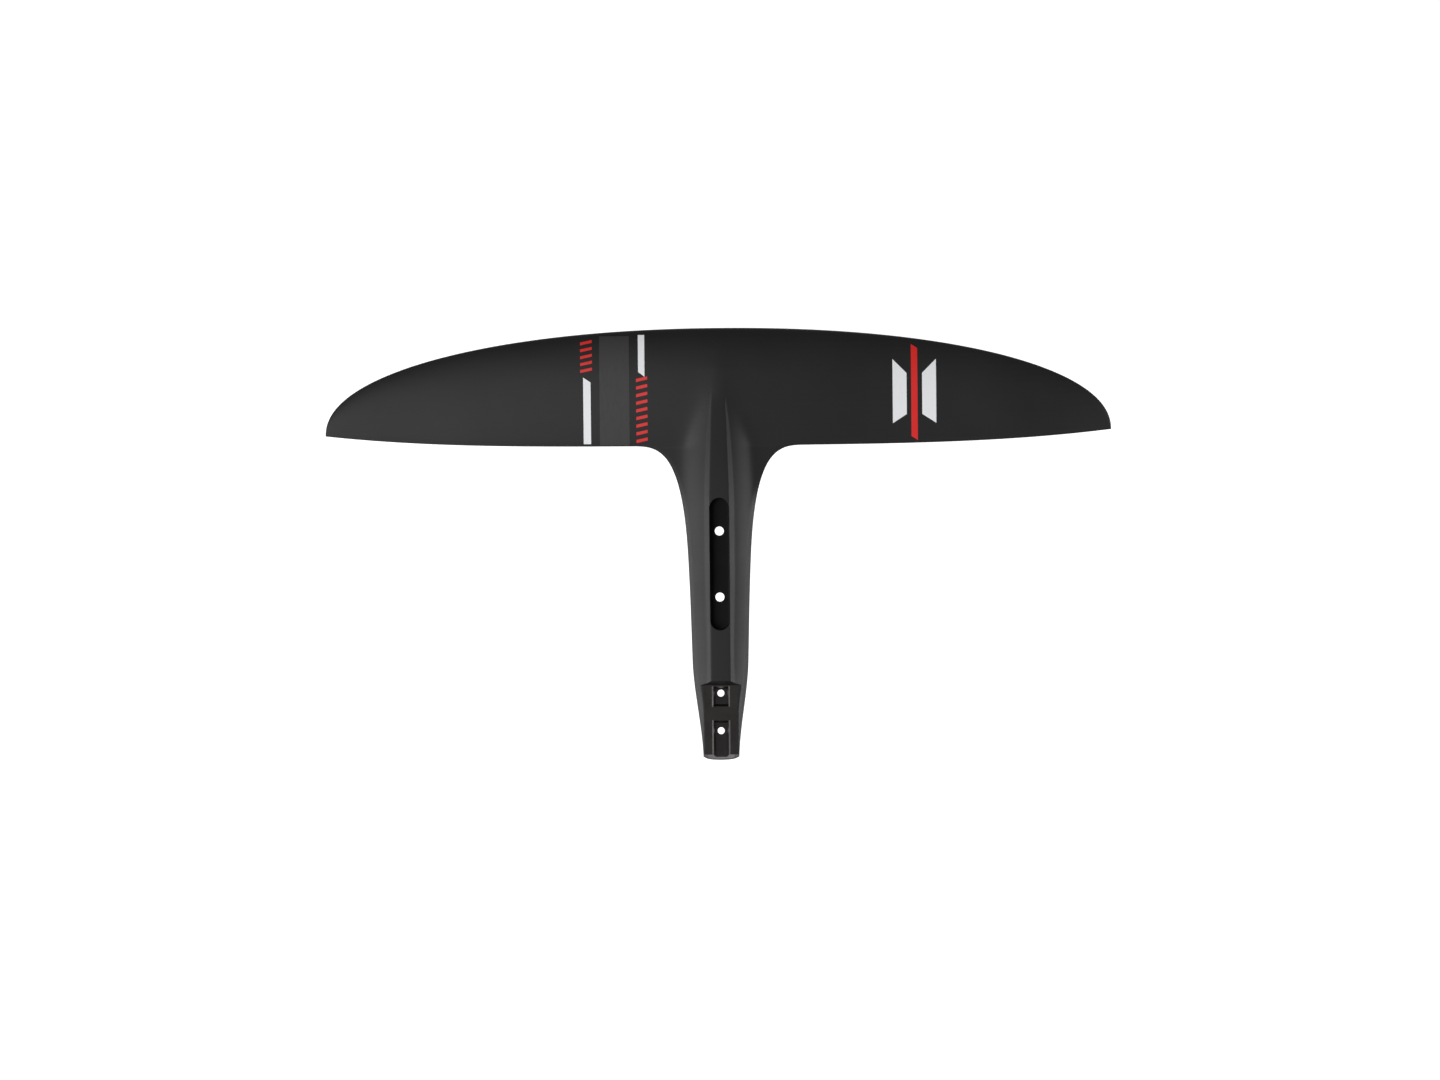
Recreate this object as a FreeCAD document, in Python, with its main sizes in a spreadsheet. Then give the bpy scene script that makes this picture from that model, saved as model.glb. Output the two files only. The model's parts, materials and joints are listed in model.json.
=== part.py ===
import FreeCAD, Part

import math
import os

import Sketcher
from FreeCAD import Vector

# Hydrofoil front wing with its front fuselage in one moulding. Millimetres.
# X runs along the span, Y points forward, Z points up towards the mast. The origin is on the
# floor of the mast pocket, half way between the two mast bolts.

DIMENSIONS = {
    # plan shape of the wing
    "half_span": 393.0,
    "tip_y": 132.0,
    "leading_edge_rise": 103.9,
    "leading_edge_power": 2.12,
    "leading_edge_fullness": 2.13,
    "trailing_edge_y": 118.3,
    "trailing_edge_sweep": 13.0,
    "trailing_sweep_power": 3.6,
    "tip_land": 0.6,
    # section of the wing
    "wing_plane_z": -1.0,
    "anhedral_degrees": 3.0,
    "anhedral_blend": 60.0,
    "root_thickness": 0.118,
    "tip_thickness": 0.088,
    "camber": 0.02,
    "camber_place": 0.4,
    "edge_land": 1.0,
    # plan shape of the fuselage
    "fuselage_half_width": 30.0,
    "side_taper": 2.0,
    "side_taper_power": 1.3,
    "narrowing_y": -96.0,
    "tail_narrowing": 7.1,
    "tail_y": -192.0,
    "tail_rake": 0.37,
    "corner_x": 89.8,
    "corner_y": -96.0,
    "corner_power": 3.5,
    # section of the fuselage
    "crown_z": 12.9,
    "crown_tail_drop": 2.6,
    "flank_drop": 11.4,
    "crown_nose_drop": 8.9,
    "nose_fade_start": 55.0,
    "nose_fade_end": 250.0,
    "nose_dive_start": 215.0,
    "nose_dive_reach": 40.0,
    "nose_dive_depth": 30.0,
    "belly_z": -13.0,
    "belly_tail_rise": 3.0,
    "belly_nose_rise": 9.0,
    "belly_edge_rise": 8.6,
    "rim": 4.0,
    "blend": 4.0,
    "blend_fade": 40.0,
    # flat deck along the spine
    "deck_z": 15.0,
    "deck_tail_drop": 2.8,
    "deck_nose_drop": 11.16,
    "deck_fall_start": 56.0,
    "deck_fall_end": 267.0,
    "deck_nose_y": 222.0,
    "deck_margin": 0.2,
    "deck_nose_half_width": 4.6,
    "deck_narrowing_power": 1.25,
    "deck_sink": 1.35,
    "chamfer_width": 5.4,
    "chamfer_depth": 5.2,
    # mast pocket, its liner and bolts
    "pocket_half_width": 9.8,
    "pocket_length": 132.0,
    "mast_bolt_spacing": 66.0,
    "mast_bolt_hole": 9.0,
    "liner_wall": 1.5,
    "liner_floor": 2.0,
    "liner_rim_z": 11.4,
    "mast_block_front": 88.0,
    "mast_block_back": -100.0,
    # tail ledge with its two key pockets
    "step_top_y": -117.0,
    "step_foot_y": -121.0,
    "ledge_z": 5.0,
    "key_half_width": 8.0,
    "key_depth": 7.0,
    "key_draft_degrees": 19.6,
    "key_front_y": -122.0,
    "key_back_y": -142.5,
    "channel_front_y": -156.0,
    "tail_bolt_y": -129.0,
    "tail_bolt_spacing": 37.5,
    "tail_bolt_hole": 7.0,
    "tail_block_front": -111.0,
    "tail_block_half_width": 17.6,
    "tail_block_end_half_width": 12.6,
    "tail_block_floor": -6.5,
    "tail_block_bevel": 4.0,
    "tail_block_overrun": 8.0,
    "tongue_drop": 2.0,
    # bolt sleeves
    "sleeve_wall": 2.2,
    "flange_extra": 2.0,
    "mast_countersink": 17.4,
    "mast_countersink_depth": 4.2,
    "tail_countersink": 13.4,
    "tail_countersink_depth": 3.2,
    "sleeve_inset": 0.6,
    "sleeve_cover": 1.0,
    # laminate and what it encloses
    "skin": 1.2,
    "fuselage_skin": 2.0,
    "core_half_span": 350.0,
    "core_front": 0.035,
    "filler_back": 0.10,
    "spar_front": 0.28,
    "spar_back": 0.42,
    "core_back": 0.86,
    "spar_cap": 1.5,
    "fuselage_core_half_width": 24.0,
    "nose_core_front": 183.0,
    # film graphics
    "film": 0.12,
}

doc = FreeCAD.newDocument("hydrofoil_wing")
sheet = doc.addObject("Spreadsheet::Sheet", "dims")
for row, (word, value) in enumerate(DIMENSIONS.items(), start=1):
    sheet.set(f"A{row}", word)
    sheet.set(f"B{row}", repr(value))
    sheet.setAlias(f"B{row}", word)
doc.recompute()
size = {word: sheet.get(word) for word in DIMENSIONS}


# ---------------------------------------------------------------- outline and heights


def smooth_step(start, end, at):
    """0 at start, 1 at end, level at both."""
    share = min(max((at - start) / (end - start), 0.0), 1.0)
    return share * share * (3.0 - 2.0 * share)


def soft_max(one, other, width):
    return (one + other + math.hypot(one - other, width)) / 2.0


def leading_edge(x):
    across = min(abs(x) / size["half_span"], 1.0)
    bow = (1.0 - across ** size["leading_edge_power"]) ** (1.0 / size["leading_edge_fullness"])
    return size["tip_y"] + size["leading_edge_rise"] * bow


def trailing_edge(x):
    """The wing's own trailing edge; inboard of the corner it carries on straight across."""
    across = max(abs(x), size["corner_x"]) / size["half_span"]
    return size["trailing_edge_y"] + size["trailing_edge_sweep"] * across ** size["trailing_sweep_power"]


def side_x(y):
    """Half width of the fuselage, widening forward through the rounded corner into the wing."""
    reach = size["corner_x"] - size["fuselage_half_width"]
    rise = trailing_edge(0.0) - size["corner_y"]
    along = min(max((y - size["corner_y"]) / rise, 0.0), 1.0)
    corner = reach * (1.0 - (1.0 - along ** size["corner_power"]) ** (1.0 / size["corner_power"]))
    return fuselage_x(y) + corner


def fuselage_x(y):
    """Half width of the fuselage by itself."""
    taper = size["side_taper"] * (max(-y, 0.0) / -size["narrowing_y"]) ** size["side_taper_power"]
    narrowing = size["tail_narrowing"] * smooth_step(size["narrowing_y"], size["tail_y"], y)
    return size["fuselage_half_width"] - taper - narrowing


def droop(x):
    blend = size["anhedral_blend"]
    return -math.tan(math.radians(size["anhedral_degrees"])) * (math.hypot(x, blend) - blend)


def parting_z(x):
    return size["wing_plane_z"] + droop(x)


def wing_heights(x, y):
    """Upper and lower surface of the wing by itself: a four-digit section on a parabolic camber line."""
    chord = leading_edge(x) - trailing_edge(x)
    at = min(max((leading_edge(x) - y) / chord, 0.0), 1.0)
    across = abs(x) / size["half_span"]
    ratio = size["root_thickness"] + (size["tip_thickness"] - size["root_thickness"]) * across
    shape = 0.2969 * math.sqrt(at) - 0.126 * at - 0.3516 * at**2 + 0.2843 * at**3 - 0.1036 * at**4
    half = 5.0 * ratio * chord * shape + size["edge_land"] / 2.0 * at
    top = size["camber_place"]
    if at < top:
        camber = size["camber"] / top**2 * (2.0 * top * at - at * at)
    else:
        camber = size["camber"] / (1.0 - top) ** 2 * (1.0 - 2.0 * top + 2.0 * top * at - at * at)
    middle = parting_z(x) + camber * chord
    return middle + half, middle - half


def fuselage_heights(x, y):
    """Crown and belly of the fuselage by itself, both arched across the width."""
    to_tail = smooth_step(0.0, size["tail_y"], y)
    to_nose = smooth_step(size["nose_fade_start"], size["nose_fade_end"], y)
    past = max((y - size["nose_dive_start"]) / size["nose_dive_reach"], 0.0)
    dive = size["nose_dive_depth"] * past**1.5
    crown = size["crown_z"] - size["crown_tail_drop"] * to_tail - size["crown_nose_drop"] * to_nose - dive
    belly = size["belly_z"] + size["belly_tail_rise"] * to_tail + size["belly_nose_rise"] * to_nose + dive
    across = abs(x) / fuselage_x(y)
    crown -= size["flank_drop"] * across**2
    belly += size["belly_edge_rise"] * (0.4 * across**2 + 0.6 * across**4)
    return crown, belly


def body_heights(x, y):
    """Upper and lower surface of wing and fuselage together, run into each other by a soft blend."""
    wing_top, wing_low = wing_heights(x, y)
    crown, belly = fuselage_heights(x, y)
    softness = size["blend"] * min(1.0, max(leading_edge(x) - y, 0.0) / size["blend_fade"])
    return soft_max(wing_top, crown, softness), -soft_max(-wing_low, -belly, softness)


def rimmed_heights(x, y, inboard):
    """The body's surfaces, rounded down over the rim to the edge land; inboard is the way in."""
    top, low = body_heights(x, y)
    rounding = math.sin(math.pi / 2.0 * min(1.0, inboard / size["rim"]))
    land = size["edge_land"] / 2.0
    base = parting_z(x)
    return base + land + (top - base - land) * rounding, base - land + (low - base + land) * rounding


# ---------------------------------------------------------------- surfaces through points


def shares_along(lines):
    """Mean distances along a set of lines that have the same number of points, as shares from 0 to 1."""
    run = [0.0]
    for i in range(1, len(lines[0])):
        run.append(run[-1] + sum(line[i].distanceToPoint(line[i - 1]) for line in lines) / len(lines))
    return [r / run[-1] for r in run]


def curve_through(points, shares):
    curve = Part.BSplineCurve()
    curve.interpolate(Points=points, Parameters=shares)
    return curve


def surface_through(grid):
    """A cubic surface through a grid of points; u follows the grid's outer list and v its inner lists."""
    turned = [list(line) for line in zip(*grid)]
    u_shares = shares_along(turned)
    v_shares = shares_along(grid)
    ribs = [curve_through(line, v_shares) for line in grid]
    strings = [curve_through(list(line), u_shares) for line in zip(*[rib.getPoles() for rib in ribs])]
    poles = [list(line) for line in zip(*[string.getPoles() for string in strings])]
    surface = Part.BSplineSurface()
    surface.buildFromPolesMultsKnots(
        poles,
        strings[0].getMultiplicities(),
        ribs[0].getMultiplicities(),
        strings[0].getKnots(),
        ribs[0].getKnots(),
        False,
        False,
        3,
        3,
    )
    return surface, u_shares, v_shares


def closed_solid(faces):
    shell = Part.makeShell(faces)
    shell.sewShape()
    solid = Part.makeSolid(shell)
    if solid.Volume < 0:
        solid.reverse()
    return solid


def flat_end(curve, other):
    """The flat face between two curves that end above each other."""
    if other is None:
        return Part.Face(Part.Wire([curve.toShape(), Part.makeLine(curve.EndPoint, curve.StartPoint)]))
    edges = [curve.toShape(), Part.makeLine(curve.EndPoint, other.EndPoint), other.toShape()]
    edges.append(Part.makeLine(other.StartPoint, curve.StartPoint))
    return Part.Face(Part.Wire(Part.__sortEdges__(edges)))


def solid_between(top_grid, low_grid):
    """A solid with a curved top and bottom, upright sides and flat ends."""
    top = surface_through(top_grid)[0]
    low = surface_through(low_grid)[0]
    faces = [top.toShape(), low.toShape()]
    u_first, u_last, v_first, v_last = top.bounds()
    for v in (v_first, v_last):
        faces += Part.makeRuledSurface(top.vIso(v).toShape(), low.vIso(v).toShape()).Faces
    for u in (u_first, u_last):
        faces.append(flat_end(top.uIso(u), low.uIso(u)))
    return closed_solid(faces)


def even(start, end, steps):
    return [start + (end - start) * i / steps for i in range(steps + 1)]


def block(x0, x1, y0, y1, z0, z1):
    return Part.makeBox(x1 - x0, y1 - y0, z1 - z0, Vector(x0, y0, z0))


# ---------------------------------------------------------------- outer shape

CLEAR = 60.0  # cutting shapes reach this far past what they cut
HALF_ROWS = 36  # rows of points from the rear edge to the leading edge, on each side
ROW_CROWDING = 1.25  # above 1, the rows lie closer together towards the rear edge
TAIL_ALLOWANCE = 11.0  # the body is first made this much too long, then cut at the raked tail face
TAIL_BULGE = 14.0  # how far the round end of that extra length stands out
CORNER_START_Y = 10.0  # from here forward the lines start from the rounded corner, not the side
TAIL_SHARES = (0.0, 0.3, 0.6, 0.85)  # where lines start across the round end behind the tail
TAIL_FRONT = 0.95  # where the first line from the side ends, as a share of the tail's half width
SIDE_FRONT = 1.06  # where the last one ends, as a share of the fuselage's half width
SIDE_EASE = 1.15  # the three powers below set how the lines are spread between those places
CORNER_EASE = 2.2
FRONT_EASE = 1.7
LINE_GAP = 0.4  # least way across the wing that a line from the corner covers
TURN_SHARE = 0.3  # how far forward a line has come where it starts to turn, and where it has
TURNED_SHARE = 1.6  # turned, both as shares of its way across the wing
STRAIGHTENED_SHARE = 0.9  # a line that starts too far in is straight by this share of its length
CURVE_STEPS = 40


def row_share(i):
    """How far along a line row i lies; the rows are close together at both ends."""
    return ((1.0 - math.cos(math.pi * i / HALF_ROWS)) / 2.0) ** ROW_CROWDING


def plan_line(edge_x, edge_y, front_x):
    """Points in plan from a place on the rear edge, in over the rim and on to the leading edge."""
    inward = edge_x - front_x
    if inward > 0.01:
        turn_y = edge_y + TURN_SHARE * inward
        end_y = edge_y + TURNED_SHARE * inward
        points = []
        for t in even(0.0, 1.0, CURVE_STEPS):
            x = (1 - t) ** 2 * edge_x + (2 * t * (1 - t) + t * t) * front_x
            y = (1 - t) ** 2 * edge_y + 2 * t * (1 - t) * turn_y + t * t * end_y
            points.append((x, y))
    else:
        length = STRAIGHTENED_SHARE * (leading_edge(front_x) - edge_y)
        points = []
        for t in even(0.0, 1.0, CURVE_STEPS):
            points.append((edge_x - inward * smooth_step(0.0, 1.0, t), edge_y + length * t))
    return points + [(front_x, leading_edge(front_x))]


def spread(points):
    """(x, y, distance from the first point) of each row along a line of points."""
    run = [0.0]
    for one, other in zip(points, points[1:]):
        run.append(run[-1] + math.dist(one, other))
    rows = []
    k = 0
    for i in range(HALF_ROWS + 1):
        want = run[-1] * row_share(i)
        while k < len(run) - 2 and run[k + 1] < want:
            k += 1
        part = (want - run[k]) / (run[k + 1] - run[k])
        x = points[k][0] + part * (points[k + 1][0] - points[k][0])
        y = points[k][1] + part * (points[k + 1][1] - points[k][1])
        rows.append((x, y, want))
    return rows


def rib(edge_x, edge_y, front_x):
    """One line of the body's skin: from the rear edge over the top to the leading edge and back below."""
    rows = spread(plan_line(edge_x, edge_y, front_x))
    over, under = [], []
    for x, y, inboard in rows[:-1]:
        top, low = rimmed_heights(x, y, inboard)
        over.append(Vector(x, y, top))
        under.append(Vector(x, y, low))
    x, y, _ = rows[-1]
    return over + [Vector(x, y, parting_z(x))] + under[::-1]


def rear_edge_places():
    """(x, y) on the rear edge of the right half with the x where its line meets the leading edge."""
    places = []
    end_y = size["tail_y"] - TAIL_ALLOWANCE
    end_x = side_x(end_y)
    for share in TAIL_SHARES:
        x = share * end_x
        places.append((x, end_y - TAIL_BULGE * math.sqrt(1.0 - share**2), x))
    corner_top = trailing_edge(0.0)
    corner = size["corner_x"]
    side_steps = 10
    first_front = TAIL_FRONT * end_x
    last_front = SIDE_FRONT * size["fuselage_half_width"]
    for i in range(side_steps):
        share = (i + 0.25) / side_steps
        y = end_y + (CORNER_START_Y - end_y) * share
        places.append((side_x(y), y, first_front + (last_front - first_front) * share**SIDE_EASE))
    corner_steps = 9
    for i in range(corner_steps):
        share = (i + 0.5) / corner_steps
        y = corner_top - (corner_top - CORNER_START_Y) * (1.0 - share) ** CORNER_EASE
        front = last_front + (corner - last_front) * share**FRONT_EASE
        places.append((side_x(y), y, max(front, side_x(y) + LINE_GAP)))
    wing_steps = 20
    last = size["half_span"] - size["tip_land"]
    for i in range(wing_steps + 1):
        x = corner + 1.0 + (last - corner - 1.0) * math.sin(math.pi / 2.0 * i / wing_steps)
        places.append((x, trailing_edge(x), x))
    return places, len(places) - wing_steps - 1


def make_body():
    """Wing and fuselage as one solid, without the deck: nine faces, a rear edge land and two tip faces."""
    places, first_wing = rear_edge_places()
    right = [rib(*place) for place in places]
    left = [[Vector(-p.x, p.y, p.z) for p in line] for line in right[1:]][::-1]
    surface, u_shares, v_shares = surface_through(left + right)
    u_cuts = [0.0, u_shares[len(left) - first_wing], u_shares[len(left) + first_wing], 1.0]
    nose_rows = 10
    v_cuts = [0.0, v_shares[HALF_ROWS - nose_rows], v_shares[HALF_ROWS + nose_rows], 1.0]
    faces = []
    for u0, u1 in zip(u_cuts, u_cuts[1:]):
        column = []
        for v0, v1 in zip(v_cuts, v_cuts[1:]):
            patch = surface.copy()
            patch.segment(u0, u1, v0, v1)
            column.append(patch.toShape())
            if v0 == 0.0:
                upper_edge = patch.vIso(v0).toShape()
            if v1 == 1.0:
                lower_edge = patch.vIso(v1).toShape()
        faces += column
        faces += Part.makeRuledSurface(upper_edge, lower_edge).Faces
    for u in (0.0, 1.0):
        edges = []
        for v0, v1 in zip(v_cuts, v_cuts[1:]):
            piece = surface.copy()
            piece.segment(0.0, 1.0, v0, v1)
            edges.append(piece.uIso(u).toShape())
        edges.append(Part.makeLine(surface.value(u, 1.0), surface.value(u, 0.0)))
        faces.append(Part.Face(Part.Wire(edges)))
    return closed_solid(faces)


def deck_half_width():
    """Half width of the deck beside the mast pocket."""
    return size["pocket_half_width"] + size["deck_margin"]


def deck_line(y):
    """Height and half width of the flat deck at y."""
    to_tail = smooth_step(0.0, size["step_foot_y"], y)
    to_nose = smooth_step(size["deck_fall_start"], size["deck_fall_end"], y)
    z = size["deck_z"] - size["deck_tail_drop"] * to_tail - size["deck_nose_drop"] * to_nose
    pocket_end = size["pocket_length"] / 2.0
    share = max(y - pocket_end, 0.0) / (size["deck_nose_y"] - pocket_end)
    narrow = deck_half_width() - size["deck_nose_half_width"]
    return z, deck_half_width() - narrow * share ** size["deck_narrowing_power"]


def make_deck():
    """The raised spine: a flat deck with a chamfer down each side, sunk into the body below."""
    into = size["deck_sink"]
    lines = {"deck": [], "foot": []}
    stations = even(size["step_foot_y"] - 3.0, size["deck_nose_y"], 16)
    for y in stations:
        z, half = deck_line(y)
        slim = half / deck_half_width()
        lines["deck"].append(Vector(half, y, z))
        wide = into * size["chamfer_width"] * slim
        deep = into * size["chamfer_depth"] * slim
        lines["foot"].append(Vector(half + wide, y, z - deep))
    shares = shares_along([lines["deck"]])
    right_deck = curve_through(lines["deck"], shares)
    right_foot = curve_through(lines["foot"], shares)
    left_deck = curve_through([Vector(-p.x, p.y, p.z) for p in lines["deck"]], shares)
    left_foot = curve_through([Vector(-p.x, p.y, p.z) for p in lines["foot"]], shares)
    ring = [left_deck, right_deck, right_foot, left_foot]
    faces = []
    for one, other in zip(ring, ring[1:] + ring[:1]):
        faces += Part.makeRuledSurface(one.toShape(), other.toShape()).Faces
    for end in ("StartPoint", "EndPoint"):
        corners = [getattr(curve, end) for curve in ring]
        faces.append(Part.Face(Part.makePolygon(corners + corners[:1])))
    return closed_solid(faces)


def behind_tail():
    """All that lies behind the raked tail face."""
    lean = size["tail_rake"] * CLEAR
    far = size["tail_y"] - lean - CLEAR
    corners = [
        Vector(-CLEAR, size["tail_y"] + lean, CLEAR),
        Vector(-CLEAR, size["tail_y"] - lean, -CLEAR),
        Vector(-CLEAR, far, -CLEAR),
        Vector(-CLEAR, far, CLEAR),
    ]
    return Part.Face(Part.makePolygon(corners + corners[:1])).extrude(Vector(2.0 * CLEAR, 0, 0))


def above_ledge():
    """The room that the rear fuselage takes: over the ledge, behind the sloping step."""
    run = size["step_top_y"] - size["step_foot_y"]
    rise = deck_line(size["step_top_y"])[0] - size["ledge_z"]
    high = size["ledge_z"] + rise * 3.0
    far = size["tail_y"] - CLEAR
    corners = [
        Vector(-CLEAR, size["step_foot_y"], size["ledge_z"]),
        Vector(-CLEAR, size["step_foot_y"] + run * 3.0, high),
        Vector(-CLEAR, far, high),
        Vector(-CLEAR, far, size["ledge_z"]),
    ]
    return Part.Face(Part.makePolygon(corners + corners[:1])).extrude(Vector(2.0 * CLEAR, 0, 0))


def slot_prism(half_width, length, z0, z1):
    """A prism with round ends along Y, centred on the origin."""
    straight = length / 2.0 - half_width
    prism = block(-half_width, half_width, -straight, straight, z0, z1)
    for y in (-straight, straight):
        prism = prism.fuse(Part.makeCylinder(half_width, z1 - z0, Vector(0, y, z0)))
    return prism.removeSplitter()


def above_parting():
    """All that lies above the surface where the two shells meet."""
    reach = size["half_span"] + CLEAR
    behind = size["tail_y"] - CLEAR
    length = leading_edge(0.0) + CLEAR - behind
    points = [Vector(x, behind, parting_z(x)) for x in even(-reach, reach, 42)]
    curve = curve_through(points, shares_along([points]))
    upper = [Vector(reach, behind, CLEAR), Vector(-reach, behind, CLEAR)]
    rest = Part.makePolygon([curve.EndPoint] + upper + [curve.StartPoint])
    return Part.Face(Part.Wire([curve.toShape()] + rest.Edges)).extrude(Vector(0, length, 0))


# ---------------------------------------------------------------- what the shells enclose


def wing_inside():
    """The room inside the wing skins, from behind the nose to ahead of the trailing edge."""
    half = size["core_half_span"]
    near = 2.2 * size["fuselage_half_width"]
    inner = even(0.0, near, 11)
    outer = [near + (half - near) * (1.0 - (1.0 - t) ** 1.3) for t in even(0.0, 1.0, 13)][1:]
    right = inner + outer
    stations = [-x for x in right[::-1]][:-1] + right
    rows = even(math.sqrt(size["core_front"]), math.sqrt(size["core_back"]), 16)
    top_grid, low_grid = [], []
    for x in stations:
        chord = leading_edge(x) - trailing_edge(x)
        tops, lows = [], []
        for row in rows:
            y = leading_edge(x) - chord * row * row
            top, low = body_heights(x, y)
            tops.append(Vector(x, y, top - size["skin"]))
            lows.append(Vector(x, y, low + size["skin"]))
        top_grid.append(tops)
        low_grid.append(lows)
    return solid_between(top_grid, low_grid)


def fuselage_inside():
    """The room inside the fuselage's laminate, as wide as the mast block."""
    half = size["fuselage_core_half_width"]
    laminate = size["fuselage_skin"]
    top_grid, low_grid = [], []
    for x in even(-half, half, 10):
        tops, lows = [], []
        for y in even(size["mast_block_back"], size["nose_core_front"], 20):
            top, low = body_heights(x, y)
            tops.append(Vector(x, y, top - laminate))
            lows.append(Vector(x, y, low + laminate))
        top_grid.append(tops)
        low_grid.append(lows)
    return solid_between(top_grid, low_grid)


def chord_slab(front, back):
    """An upright slab that follows the wing between two shares of the chord."""
    reach = size["core_half_span"] + 5.0
    stations = even(-reach, reach, 48)
    curves = []
    for share in (front, back):
        points = []
        for x in stations:
            chord = leading_edge(x) - trailing_edge(x)
            points.append(Vector(x, leading_edge(x) - chord * share, -CLEAR))
        curves.append(curve_through(points, [(x + reach) / (2.0 * reach) for x in stations]))
    return flat_end(curves[0], curves[1]).extrude(Vector(0, 0, 2.0 * CLEAR))


def shifted(shape, z):
    moved = shape.copy()
    moved.translate(Vector(0, 0, z))
    return moved


# ---------------------------------------------------------------- document objects


def add_shape(name, shape):
    """A sub-part whose shape comes from the surface functions above."""
    piece = doc.addObject("Part::Feature", name)
    piece.Shape = shape
    piece.Placement = FreeCAD.Placement()
    piece.Label = name
    return piece


def draw_profile(sketch, corners):
    """A closed outline of straight lines through corners, each held in place by two expressions."""
    at = [Vector(sheet.evalExpression(x), sheet.evalExpression(y), 0) for x, y in corners]
    count = len(at)
    for i in range(count):
        sketch.addGeometry(Part.LineSegment(at[i], at[(i + 1) % count]), False)
    for i in range(count):
        sketch.addConstraint(Sketcher.Constraint("Coincident", i, 2, (i + 1) % count, 1))
        x, y = corners[i]
        for kind, value, text in (("DistanceX", at[i].x, x), ("DistanceY", at[i].y, y)):
            held = sketch.addConstraint(Sketcher.Constraint(kind, -1, 1, i, 1, value))
            sketch.setExpression(f"Constraints[{held}]", text)


def draw_slot(sketch, half_width, length):
    """A closed outline with round ends along Y, centred on the origin."""
    radius = sheet.evalExpression(half_width)
    straight = sheet.evalExpression(f"{length} / 2 - {half_width}")
    top, low = Vector(0, straight, 0), Vector(0, -straight, 0)
    upright, side = Vector(0, 0, 1), Vector(radius, 0, 0)
    sketch.addGeometry(Part.ArcOfCircle(Part.Circle(top, upright, radius), 0, math.pi), False)
    sketch.addGeometry(Part.LineSegment(top - side, low - side), False)
    sketch.addGeometry(Part.ArcOfCircle(Part.Circle(low, upright, radius), math.pi, 2 * math.pi), False)
    sketch.addGeometry(Part.LineSegment(low + side, top + side), False)
    for i in range(4):
        sketch.addConstraint(Sketcher.Constraint("Tangent", i, 2, (i + 1) % 4, 1))
    sketch.addConstraint(Sketcher.Constraint("PointOnObject", 0, 3, -2))
    sketch.addConstraint(Sketcher.Constraint("Symmetric", 0, 3, 2, 3, -1, 1))
    held = sketch.addConstraint(Sketcher.Constraint("Radius", 0, radius))
    sketch.setExpression(f"Constraints[{held}]", half_width)
    held = sketch.addConstraint(Sketcher.Constraint("DistanceY", 2, 3, 0, 3, 2 * straight))
    sketch.setExpression(f"Constraints[{held}]", f"{length} - 2 * {half_width}")


def draw_holes(sketch, diameter, centres):
    for i, (x, y) in enumerate(centres):
        at = Vector(sheet.evalExpression(x), sheet.evalExpression(y), 0)
        radius = sheet.evalExpression(diameter) / 2.0
        sketch.addGeometry(Part.Circle(at, Vector(0, 0, 1), radius), False)
        held = sketch.addConstraint(Sketcher.Constraint("Diameter", i, 2 * radius))
        sketch.setExpression(f"Constraints[{held}]", diameter)
        for kind, value, text in (("DistanceX", at.x, x), ("DistanceY", at.y, y)):
            held = sketch.addConstraint(Sketcher.Constraint(kind, -1, 1, i, 3, value))
            sketch.setExpression(f"Constraints[{held}]", text)


def add_body(name):
    body = doc.addObject("PartDesign::Body", name)
    body.Label = name
    return body


def add_sketch(body, name, role, height=None):
    """A sketch on one of the body's own origin planes, lifted by an expression."""
    sketch = body.newObject("Sketcher::SketchObject", name)
    plane = next(p for p in body.Origin.OriginFeatures if p.Role == role)
    sketch.AttachmentSupport = [(plane, "")]
    sketch.MapMode = "FlatFace"
    if height:
        sketch.setExpression("AttachmentOffset.Base.z", height)
    return sketch


def add_pad(body, name, sketch, length):
    pad = body.newObject("PartDesign::Pad", name)
    pad.Profile = sketch
    pad.setExpression("Length", length)
    return pad


def add_pocket(body, name, sketch, length, draft=None):
    """A pocket downwards from its sketch; it has to take material away."""
    doc.recompute()
    before = body.Shape.Volume
    pocket = body.newObject("PartDesign::Pocket", name)
    pocket.Profile = sketch
    pocket.setExpression("Length", length)
    if draft:
        pocket.setExpression("TaperAngle", draft)
    doc.recompute()
    if not body.Shape.Volume < before - 1.0:
        raise RuntimeError(f"{name} removes nothing")
    return pocket


def make_liner():
    """Lining of the mast pocket: a stadium cup with two bolt holes in its floor."""
    body = add_body("mast_socket_liner")
    outer = add_sketch(body, "liner_outline", "XY_Plane", "-dims.liner_floor")
    length = "(dims.pocket_length + 2 * dims.liner_wall)"
    draw_slot(outer, "(dims.pocket_half_width + dims.liner_wall)", length)
    add_pad(body, "liner_cup", outer, "dims.liner_rim_z + dims.liner_floor")
    inner = add_sketch(body, "pocket_outline", "XY_Plane", "dims.liner_rim_z")
    draw_slot(inner, "dims.pocket_half_width", "dims.pocket_length")
    add_pocket(body, "liner_hollow", inner, "dims.liner_rim_z")
    holes = add_sketch(body, "bolt_holes", "XY_Plane", "dims.liner_rim_z")
    spots = [("0", "dims.mast_bolt_spacing / 2"), ("0", "-dims.mast_bolt_spacing / 2")]
    draw_holes(holes, "dims.mast_bolt_hole", spots)
    add_pocket(body, "liner_bolt_holes", holes, "dims.liner_rim_z + dims.liner_floor")
    return body


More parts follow.
